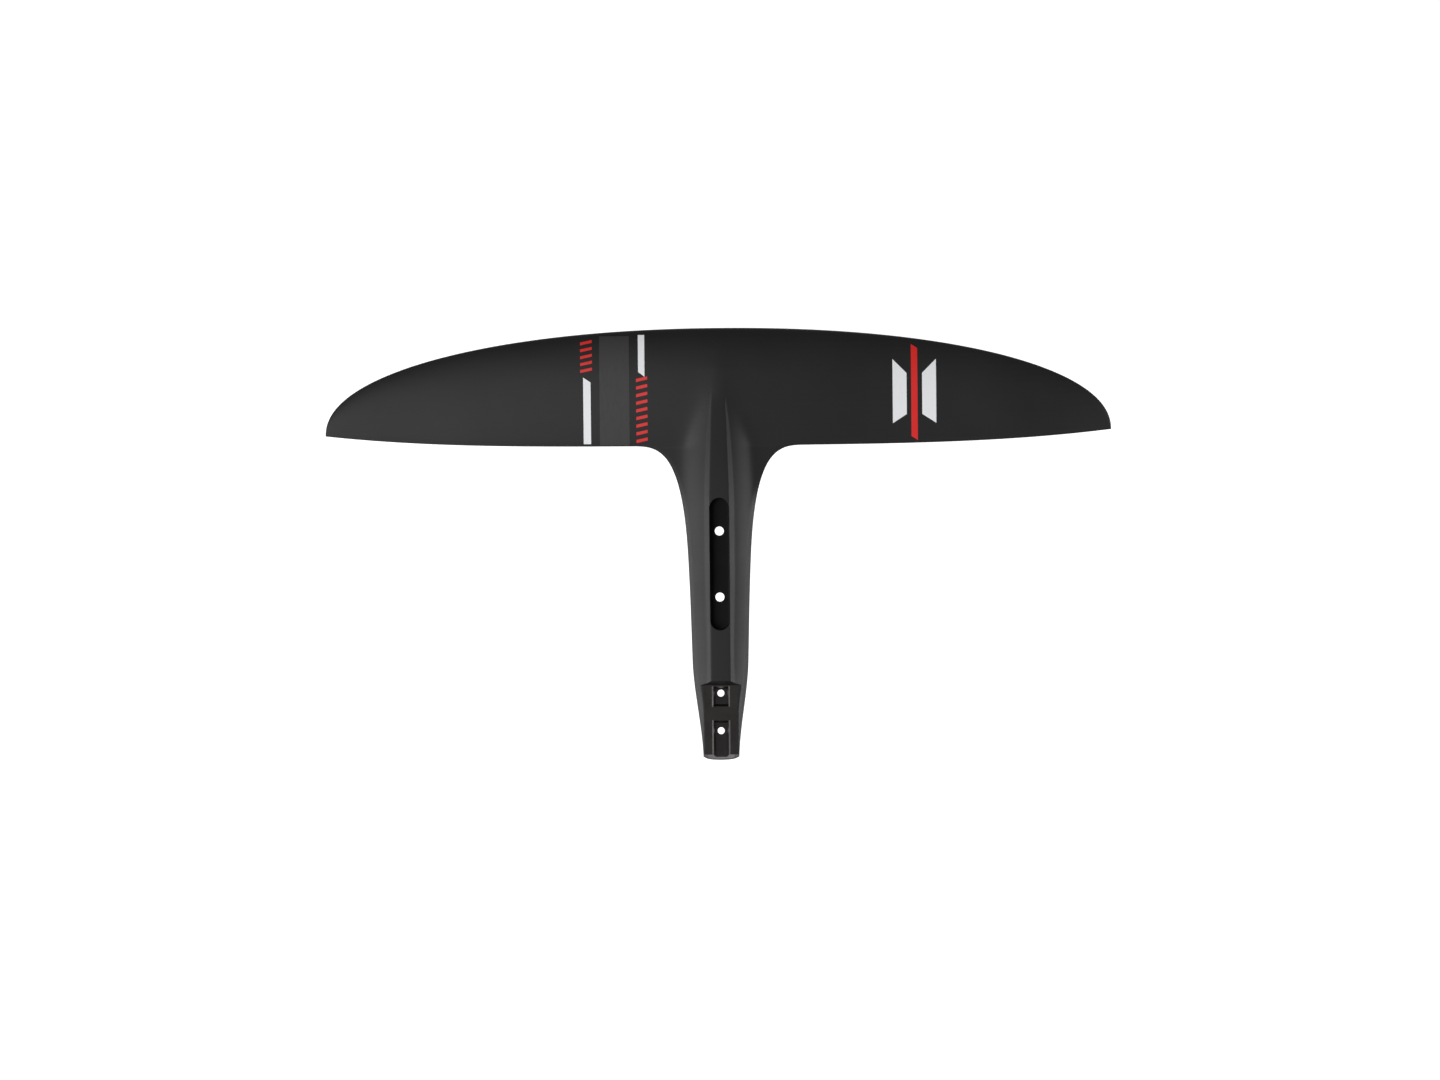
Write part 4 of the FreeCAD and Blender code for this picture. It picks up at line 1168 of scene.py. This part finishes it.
def foam_finish(name, colour):
    """Closed-cell foam: small round cells that show as shade and relief."""
    material, tree = material_tree(name)
    plain = object_place(tree)
    cells = tree.add("ShaderNodeTexVoronoi", None, {"Vector": plain, "Scale": 900.0})["Distance"]
    cloud = noise(tree, plain, 30.0, 3.0, 0.5)
    tone = remap(tree, cells, 0.0, 0.7, 0.8, 1.1) * remap(tree, cloud, 0.3, 0.7, 0.94, 1.06)
    base = tinted(tree, tone, colour)
    normal = bumped(tree, cells, 0.5, 0.0003)
    rough = remap(tree, cells, 0.0, 0.7, 0.95, 0.8)
    close_material(tree, principled(tree, Base_Color=base, Roughness=rough, Normal=normal))
    return material


def beam_finish(name):
    """Bare unidirectional carbon along the span: long fibres with a satin sheen."""
    material, tree = material_tree(name)
    fibre = noise(tree, object_place(tree, (6.0, 3200.0, 900.0)), 1.0, 3.0, 0.6)
    tone = remap(tree, fibre, 0.3, 0.7, 0.018, 0.05)
    base = tree.add("ShaderNodeCombineColor", None, {0: tone, 1: tone, 2: tone * 1.03})
    rough = remap(tree, fibre, 0.3, 0.7, 0.3, 0.5)
    normal = bumped(tree, fibre, 0.3, 0.00008)
    close_material(tree, principled(tree, Base_Color=base["Color"], Roughness=rough, Normal=normal))
    return material


# ---------------------------------------------------------------- settings shown in the panel


class FOIL_PG_lacquer(bpy.types.PropertyGroup):
    """Finish of the wing's shells"""

    shade: FloatVectorProperty(
        name="Lacquer colour",
        description="Colour of the matt lacquer over the carbon cloth",
        subtype="COLOR",
        default=(0.0072, 0.0071, 0.0075),
        min=0.0,
        max=1.0,
    )
    roughness: FloatProperty(
        name="Lacquer roughness",
        description="How matt the lacquer is",
        subtype="FACTOR",
        default=0.5,
        min=0.0,
        max=1.0,
    )
    weave: FloatProperty(
        name="Weave",
        description="How much of the cloth's twill shows through the lacquer",
        subtype="FACTOR",
        default=0.5,
        min=0.0,
        max=1.0,
    )


class FOIL_PG_graphics(bpy.types.PropertyGroup):
    """Film graphics on the upper shell"""

    white: FloatVectorProperty(
        name="White film",
        description="Colour of the white bars",
        subtype="COLOR",
        default=(0.85, 0.86, 0.88),
        min=0.0,
        max=1.0,
    )
    red: FloatVectorProperty(
        name="Red film",
        description="Colour of the red marks",
        subtype="COLOR",
        default=(0.7, 0.016, 0.013),
        min=0.0,
        max=1.0,
    )
    band: FloatVectorProperty(
        name="Grey film",
        description="Colour of the full-chord band",
        subtype="COLOR",
        default=(0.03, 0.0275, 0.028),
        min=0.0,
        max=1.0,
    )
    thickness: FloatProperty(
        name="Film thickness",
        description="How far the films stand above the shell",
        subtype="DISTANCE",
        unit="LENGTH",
        default=0.00012,
        min=0.00002,
        max=0.001,
    )
    outer_marks: IntProperty(
        name="Outer marks",
        description="Number of marks in the outer red row",
        default=5,
        min=1,
        max=20,
    )
    inner_marks: IntProperty(
        name="Inner marks",
        description="Number of marks in the inner red row",
        default=9,
        min=1,
        max=30,
    )


class FOIL_PG_hardware(bpy.types.PropertyGroup):
    """Socket, tail block and sleeves"""

    edge: FloatProperty(
        name="Edge break",
        description="Width of the small rolled edges on the machined pieces",
        subtype="DISTANCE",
        unit="LENGTH",
        default=0.00035,
        min=0.00005,
        max=0.002,
    )
    floor_fillet: FloatProperty(
        name="Pocket fillet",
        description="Radius between the mast pocket's wall and floor",
        subtype="DISTANCE",
        unit="LENGTH",
        default=0.0012,
        min=0.0002,
        max=0.004,
    )


class FOIL_PG_stage(bpy.types.PropertyGroup):
    """Floor, lights and camera"""

    drop: FloatProperty(
        name="Floor drop",
        description="Distance from the mast mount down to the floor",
        subtype="DISTANCE",
        unit="LENGTH",
        default=0.42,
        min=0.02,
        max=5.0,
    )
    key: FloatProperty(
        name="Key light",
        description="Power of the softbox up on the left",
        unit="POWER",
        default=19.5,
        min=0.0,
        max=5000.0,
    )
    side: FloatProperty(
        name="Left side share",
        description="Power of the low softbox on the left as a share of the key light",
        subtype="FACTOR",
        default=2.1,
        min=0.0,
        max=3.0,
    )
    fill: FloatProperty(
        name="Right light",
        description="Power of the low softbox on the right",
        unit="POWER",
        default=39.0,
        min=0.0,
        max=5000.0,
    )
    room: FloatProperty(
        name="Room light",
        description="Strength of the even light from all round",
        default=0.16,
        min=0.0,
        max=10.0,
    )
    glow: FloatProperty(
        name="Floor glow",
        description="How strongly the floor glows by itself, so that it stays even to its edges",
        default=0.55,
        min=0.0,
        max=10.0,
    )


# ---------------------------------------------------------------- operators


def to_root(piece, slot_name, *nodes):
    """The piece rides on the body and stands for its CAD nodes; slot_name is not used."""
    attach(piece, "root")
    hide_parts(*nodes)
    return piece


class FOIL_OT_upper_shell(bpy.types.Operator):
    """Moulds the upper shell with its deck, mast pocket mouth, step and tail flanks"""

    bl_idname = "foil.upper_shell"
    bl_label = "Upper Shell"

    def execute(self, context):
        look = context.scene.foil_lacquer
        material = carbon_finish("carbon_skin", look.shade, look.roughness, look.weave)
        group = rule_tree("upper_section_rule", upper_surface, upper_inside)
        piece = grown(sandwich("wing_upper_shell", *upper_plan()), group, material)
        seat_pocket(piece)
        true_normals(piece, 1, upper_surface, 1.0)
        to_root(piece, "carbon_skin", "upper_skin")
        return {"FINISHED"}


def seat_pocket(piece):
    """Brings the shell's inner edge round the mast pocket up to the liner's rim."""
    mesh = piece.data
    spots = np.empty(len(mesh.vertices) * 3)
    mesh.vertices.foreach_get("co", spots)
    spots = spots.reshape(-1, 3)
    x, y, z = spots.T / MM
    lip = (pocket_distance(SIZES, x, y) < 0.02) & (z < SIZES.liner_rim)
    spots[lip, 2] = SIZES.liner_rim * MM
    mesh.vertices.foreach_set("co", spots.ravel())


class FOIL_OT_lower_shell(bpy.types.Operator):
    """Moulds the lower shell with its four openings for the bolt sleeves"""

    bl_idname = "foil.lower_shell"
    bl_label = "Lower Shell"

    def execute(self, context):
        material = bpy.data.materials["carbon_skin"]
        group = rule_tree("lower_section_rule", lower_inside, lower_surface)
        piece = grown(sandwich("wing_lower_shell", *lower_plan()), group, material)
        true_normals(piece, 2, lower_surface, -1.0)
        to_root(piece, "carbon_skin", "lower_skin")
        return {"FINISHED"}


class FOIL_OT_socket(bpy.types.Operator):
    """Lines the mast pocket with a cup that has a filleted floor and two bolt holes"""

    bl_idname = "foil.socket"
    bl_label = "Mast Socket"

    def execute(self, context):
        fillet = context.scene.foil_hardware.floor_fillet / MM
        wall = LINER_HIGH.x - SIZES.pocket_half_width
        top, edge = LINER_HIGH.z, 0.25
        rows = [(wall, LINER_LOW.z), (wall, top), (edge, top), (0.0, top - edge)]
        for turn in np.linspace(0.0, math.pi / 2.0, 7):
            rows.append((-fillet * (1.0 - math.cos(turn)), fillet * (1.0 - math.sin(turn))))
        rings = [[(x, y, z) for x, y in stadium(offset)] for offset, z in rows]
        mesh = outward(lofted("mast_socket", rings))
        material = moulded_finish("socket_liner", (0.004, 0.0036, 0.0038), 0.5, 0.7, 0.2)
        piece = made_object("mast_socket", mesh, material)
        cutters = []
        for place, bore, _, _ in SLEEVES[:2]:
            cutters.append(rod("hole", bore, place, -5.0, 5.0))
            cutters.append(hole_chamfer(bore, place, 0.0, 0.35))
        carved(piece, cutters)
        shade_by_angle(piece, 30.0)
        to_root(piece, "socket_liner", "mast_socket_liner")
        return {"FINISHED"}


def shade_by_angle(piece, degrees):
    """Smooth shading that keeps large faces flat and creases sharper edges than the angle."""
    mesh = piece.data
    mesh.polygons.foreach_set("use_smooth", np.ones(len(mesh.polygons), bool))
    mesh.set_sharp_from_angle(angle=math.radians(degrees))
    modifier = piece.modifiers.new("flat_faces", "WEIGHTED_NORMAL")
    modifier.mode = "FACE_AREA"
    modifier.weight = 100
    modifier.keep_sharp = True
    finished(piece)


class FOIL_OT_tail_block(bpy.types.Operator):
    """Machines the tail block: ledge, drafted key pocket and the channel that runs out at the tail"""

    bl_idname = "foil.tail_block"
    bl_label = "Tail Block"

    def execute(self, context):
        edge = context.scene.foil_hardware.edge / MM
        wide = SIZES.block_half_width
        tongue = BLOCK_HIGH.z - TONGUE_DROP
        rings = [
            block_ring(BLOCK_HIGH.y, wide, tongue),
            block_ring(SIZES.step_foot_y + TONGUE_STEP, wide, tongue),
            block_ring(SIZES.step_foot_y, wide, BLOCK_HIGH.z),
            block_ring(SIZES.tail_y, block_half_width(SIZES.tail_y), BLOCK_HIGH.z, SIZES.tail_rake),
        ]
        material = moulded_finish("block_laminate", (0.0125, 0.0085, 0.0083), 0.36, 1.0, 0.4)
        piece = made_object("tail_key_block", outward(lofted("tail_key_block", rings)), material)
        pockets = [drafted_box(name, *key) for name, key in KEYS.items()]
        flares = [side_flare(name + "_flare", *key) for name, key in KEYS.items()]
        carved(piece, pockets + flares)
        rounded(piece, edge)
        seat = SIZES.ledge - SLEEVE_SEAT_DEPTH
        cutters = []
        for place, bore, _, _ in SLEEVES[2:]:
            cutters.append(rod("bolt_hole", bore, place, BELOW_BLOCK, 0.0))
            cutters.append(rod("sleeve_seat", bore + SLEEVE_WALL, place, BELOW_BLOCK, seat))
            cutters.append(hole_chamfer(bore, place, SIZES.ledge - KEY_DEPTH, 0.2))
        carved(piece, cutters)
        shade_by_angle(piece, 25.0)
        to_root(piece, "block_laminate", "tail_block")
        return {"FINISHED"}


class FOIL_OT_sleeves(bpy.types.Operator):
    """Turns the four steel bolt sleeves with their countersunk flanges"""

    bl_idname = "foil.sleeves"
    bl_label = "Bolt Sleeves"

    def execute(self, context):
        material = steel_finish("sleeve_steel")
        names = ["front_mast_bolt", "rear_mast_bolt", "front_tail_bolt", "rear_tail_bolt"]
        for name, (place, hole, sink, deep) in zip(names, SLEEVES):
            node = name + "_sleeve"
            low, high = node_span(node)
            outside, flange = hole + SLEEVE_WALL, sink + FLANGE_EXTRA
            shoulder = low.z + deep if "mast" in name else min(low.z + deep, BLOCK_LOW.z)
            foot, top, small = low.z, high.z, SLEEVE_EDGE
            profile = [
                (hole, top - small),
                (hole + small, top),
                (outside - small, top),
                (outside, top - small),
                (outside, shoulder),
                (flange, foot + deep / 3.0),
                (flange, foot + small),
                (flange - small, foot),
                (sink + small, foot),
                (sink, foot + small),
                (hole + small, foot + deep - small),
                (hole, foot + deep + small),
            ]
            piece = made_object(name + "_ring", turned(name + "_ring", profile, place), material)
            shade_by_angle(piece, 20.0)
            to_root(piece, "sleeve_steel", node)
        return {"FINISHED"}


def skewed_slab(x0, x1, y0, y1, slant_low, slant_high):
    """A thin flat slab over a bar in plan, split finely enough to lie on the shell."""
    across = max(4, int(abs(x1 - x0) / FILM_GRID))
    along = max(4, int(abs(y1 - y0) / FILM_GRID))
    spots, faces = [], []
    for j in range(along + 1):
        for i in range(across + 1):
            u, v = i / across, j / along
            low = y0 - slant_low * u
            high = y1 - slant_high * u
            spots.append((x0 + (x1 - x0) * u, low + (high - low) * v))
    for j in range(along):
        for i in range(across):
            a = j * (across + 1) + i
            faces.append((a, a + 1, a + across + 2, a + across + 1))
    return spots, faces


def film_mesh(name, bars):
    """Flat mesh of several bars, each a closed slab of two layers."""
    points, quads = [], []
    for bar in bars:
        spots, faces = skewed_slab(*bar)
        quads += [tuple(i + len(points) for i in face) for face in faces]
        points += spots
    points = np.array(points)
    count = len(points)
    keys = {(face[i], face[(i + 1) % 4]) for face in quads for i in range(4)}
    walls = [(b, a, a + count, b + count) for a, b in sorted(keys) if (b, a) not in keys]
    under = [tuple(i + count for i in face[::-1]) for face in quads]
    kinds = [1] * len(quads) + [2] * len(under) + [3] * len(walls)
    layers = np.concatenate([np.ones(count), np.zeros(count)])
    return flat_mesh(name, np.concatenate([points, points]), quads + under + walls, layers, kinds)


class FOIL_OT_films(bpy.types.Operator):
    """Lays the film graphics on the upper shell: bars, the full-chord band and rows of marks"""

    bl_idname = "foil.films"
    bl_label = "Film Graphics"

    def execute(self, context):
        look = context.scene.foil_graphics
        film = look.thickness / MM
        white = film_finish("white_film", look.white, 0.42)
        red = film_finish("red_film", look.red, 0.4)
        band = film_finish("grey_film", look.band, 0.5)

        def over(s, x, y):
            return rimmed(s, x, y)[0] + film

        def under(s, x, y):
            return rimmed(s, x, y)[0] - FILM_SINK

        laid = rule_tree("film_rule", over, under)
        row = rule_tree("mark_row_rule", over, under, repeat=True)
        back = trailing_edge(SIZES, 0.0)
        front = leading_edge(SIZES, BAND_FRONT_X) - BAND_INSET
        emblem = [
            (174.5, 188.5, back + 20.7, back + 84.7, -9.0, 14.0),
            (204.0, 218.0, back + 29.7, back + 70.7, 9.0, -14.0),
        ]
        outer = (-134.6, -127.2, back + 2.7, back + 69.2, 0.0, 5.0)
        inner = (-79.6, -73.2, back + 74.2, back + 111.2, 5.0, 0.0)
        bars = {
            "outer_white_bar": (white, "white_film", [outer]),
            "inner_white_bar": (white, "white_film", [inner]),
            "grey_band": (band, "grey_film", [(-118.4, -88.6, back + 1.2, front, 0.0, 0.0)]),
            "emblem_white": (white, "white_film", emblem),
            "emblem_red": (red, "red_film", [(193.0, 199.4, back + 7.7, back + 99.7, 4.0, 4.0)]),
        }
        for node, (material, slot_name, shapes) in bars.items():
            piece = grown(film_mesh("film_" + node, shapes), laid, material)
            true_normals(piece, 1, over, 1.0)
            to_root(piece, slot_name, node)
        rows = {
            "outer_red_marks": (-137.4, -125.6, back + 73.7, back + 108.2, look.outer_marks),
            "inner_red_marks": (-81.8, -70.6, back + 3.2, back + 71.7, look.inner_marks),
        }
        for node, (x0, x1, y0, y1, count) in rows.items():
            pitch = (y1 - y0) / count
            bar = (x0, x1, y0, y0 + MARK_SHARE * pitch, MARK_SLANT, MARK_SLANT)
            mark = film_mesh("film_" + node, [bar])
            piece = grown(mark, row, red, Count=count, Pitch=pitch * MM)
            true_normals(piece, 1, over, 1.0)
            to_root(piece, "red_film", node)
        return {"FINISHED"}


class FOIL_OT_inner_pieces(bpy.types.Operator):
    """Gives the cores, spar and mast block inside the shells their own finishes"""

    bl_idname = "foil.inner_pieces"
    bl_label = "Inner Pieces"

    def execute(self, context):
        finishes = {
            "carbon_beam": beam_finish("carbon_beam"),
            "web_foam": foam_finish("web_foam", (0.62, 0.5, 0.3)),
            "core_foam": foam_finish("core_foam", (0.78, 0.72, 0.55)),
            "dense_core": moulded_finish("dense_core", (0.12, 0.1, 0.07), 0.6, 1.0, 0.4),
        }
        painted = 0
        for part in frame["record"]["subparts"]:
            finish = finishes.get(part["material_slot"])
            if finish:
                node = frame["nodes"][part["node"]]
                node.data.materials.clear()
                node.data.materials.append(finish)
                painted += 1
        if painted < 10:
            raise RuntimeError(f"only {painted} inner pieces have a finish")
        return {"FINISHED"}


class FOIL_OT_stage(bpy.types.Operator):
    """Sets out the pale floor, the soft lights and the camera above the wing"""

    bl_idname = "foil.stage"
    bl_label = "Stage"

    def execute(self, context):
        look = context.scene.foil_stage
        material, tree = material_tree("pale_floor")
        shine = {"Base_Color": grey(0.85), "Roughness": 0.9}
        shine.update(Emission_Color=grey(1.0), Emission_Strength=look.glow)
        from_below = tree.add("ShaderNodeNewGeometry")["Backfacing"]
        clear = tree.add("ShaderNodeBsdfTransparent")["BSDF"]
        sides = {0: from_below, 1: principled(tree, **shine), 2: clear}
        close_material(tree, tree.add("ShaderNodeMixShader", None, sides)[0])
        mesh = bpy.data.meshes.new("floor")
        reach = 30.0
        corners = [(-reach, -reach), (reach, -reach), (reach, reach), (-reach, reach)]
        mesh.from_pydata([(x, y, -look.drop) for x, y in corners], [], [(0, 1, 2, 3)])
        floor = made_object("floor", mesh, material)
        lights = [
            ("overhead_softbox", look.key, (-1.15, -0.3, 2.2), (1.0, 1.4)),
            ("left_softbox", look.key * look.side, (-2.2, -0.4, 0.8), (1.4, 2.2)),
            ("right_softbox", look.fill, (2.2, -0.5, 0.85), (1.4, 1.3)),
        ]
        aim = Vector((0.0, 0.05, 0.0))
        for name, power, place, size in lights:
            lamp = bpy.data.lights.new(name, "AREA")
            lamp.shape = "RECTANGLE"
            lamp.size, lamp.size_y = size
            lamp.energy = power
            item = bpy.data.objects.new(name, lamp)
            item.location = place
            item.rotation_euler = (aim - Vector(place)).to_track_quat("-Z", "Y").to_euler()
            context.scene.collection.objects.link(item)
        world = bpy.data.worlds.new("room")
        context.scene.world = world
        world.use_nodes = True
        world.node_tree.nodes.clear()
        air = Tree(world.node_tree)
        glow = air.add("ShaderNodeBackground", None, {"Color": grey(1.0), "Strength": look.room})
        air.add("ShaderNodeOutputWorld", None, {"Surface": glow["Background"]})
        lens = bpy.data.cameras.new("camera")
        lens.sensor_width = 36.0
        lens.lens = lens.sensor_width * (CAMERA_HEIGHT + VIEW_HEIGHT) / VIEW_WIDTH
        lens.clip_end = 200.0
        camera = bpy.data.objects.new("camera", lens)
        camera.location = (*CAMERA_PLACE, CAMERA_HEIGHT)
        camera.rotation_euler = (0.0, 0.0, CAMERA_TURN)
        context.scene.collection.objects.link(camera)
        context.scene.camera = camera
        context.scene.view_settings.view_transform = "Standard"
        return {"FINISHED"}


class FOIL_PT_panel(bpy.types.Panel):
    """Sizes and finishes of the wing"""

    bl_idname = "FOIL_PT_panel"
    bl_label = "Hydrofoil Wing"
    bl_space_type = "VIEW_3D"
    bl_region_type = "UI"
    bl_category = "Foil"

    def draw(self, context):
        for group in SETTINGS:
            box = self.layout.box()
            settings = getattr(context.scene, group)
            for name in settings.__annotations__:
                box.prop(settings, name)
        for operator in OPERATORS:
            self.layout.operator(operator.bl_idname)


SETTINGS = {
    "foil_lacquer": FOIL_PG_lacquer,
    "foil_graphics": FOIL_PG_graphics,
    "foil_hardware": FOIL_PG_hardware,
    "foil_stage": FOIL_PG_stage,
}
OPERATORS = [
    FOIL_OT_upper_shell,
    FOIL_OT_lower_shell,
    FOIL_OT_socket,
    FOIL_OT_tail_block,
    FOIL_OT_sleeves,
    FOIL_OT_films,
    FOIL_OT_inner_pieces,
    FOIL_OT_stage,
]


def register():
    for group in SETTINGS.values():
        bpy.utils.register_class(group)
    for operator in OPERATORS:
        bpy.utils.register_class(operator)
    bpy.utils.register_class(FOIL_PT_panel)
    for name, group in SETTINGS.items():
        setattr(bpy.types.Scene, name, PointerProperty(type=group))


def unregister():
    for name in SETTINGS:
        delattr(bpy.types.Scene, name)
    bpy.utils.unregister_class(FOIL_PT_panel)
    for item in [*OPERATORS, *SETTINGS.values()]:
        bpy.utils.unregister_class(item)


def main():
    register()
    for operator in OPERATORS:
        module, name = operator.bl_idname.split(".")
        result = getattr(getattr(bpy.ops, module), name)()
        if "FINISHED" not in result:
            raise RuntimeError(f"{operator.bl_idname} did not finish")


if __name__ == "__main__":
    main()
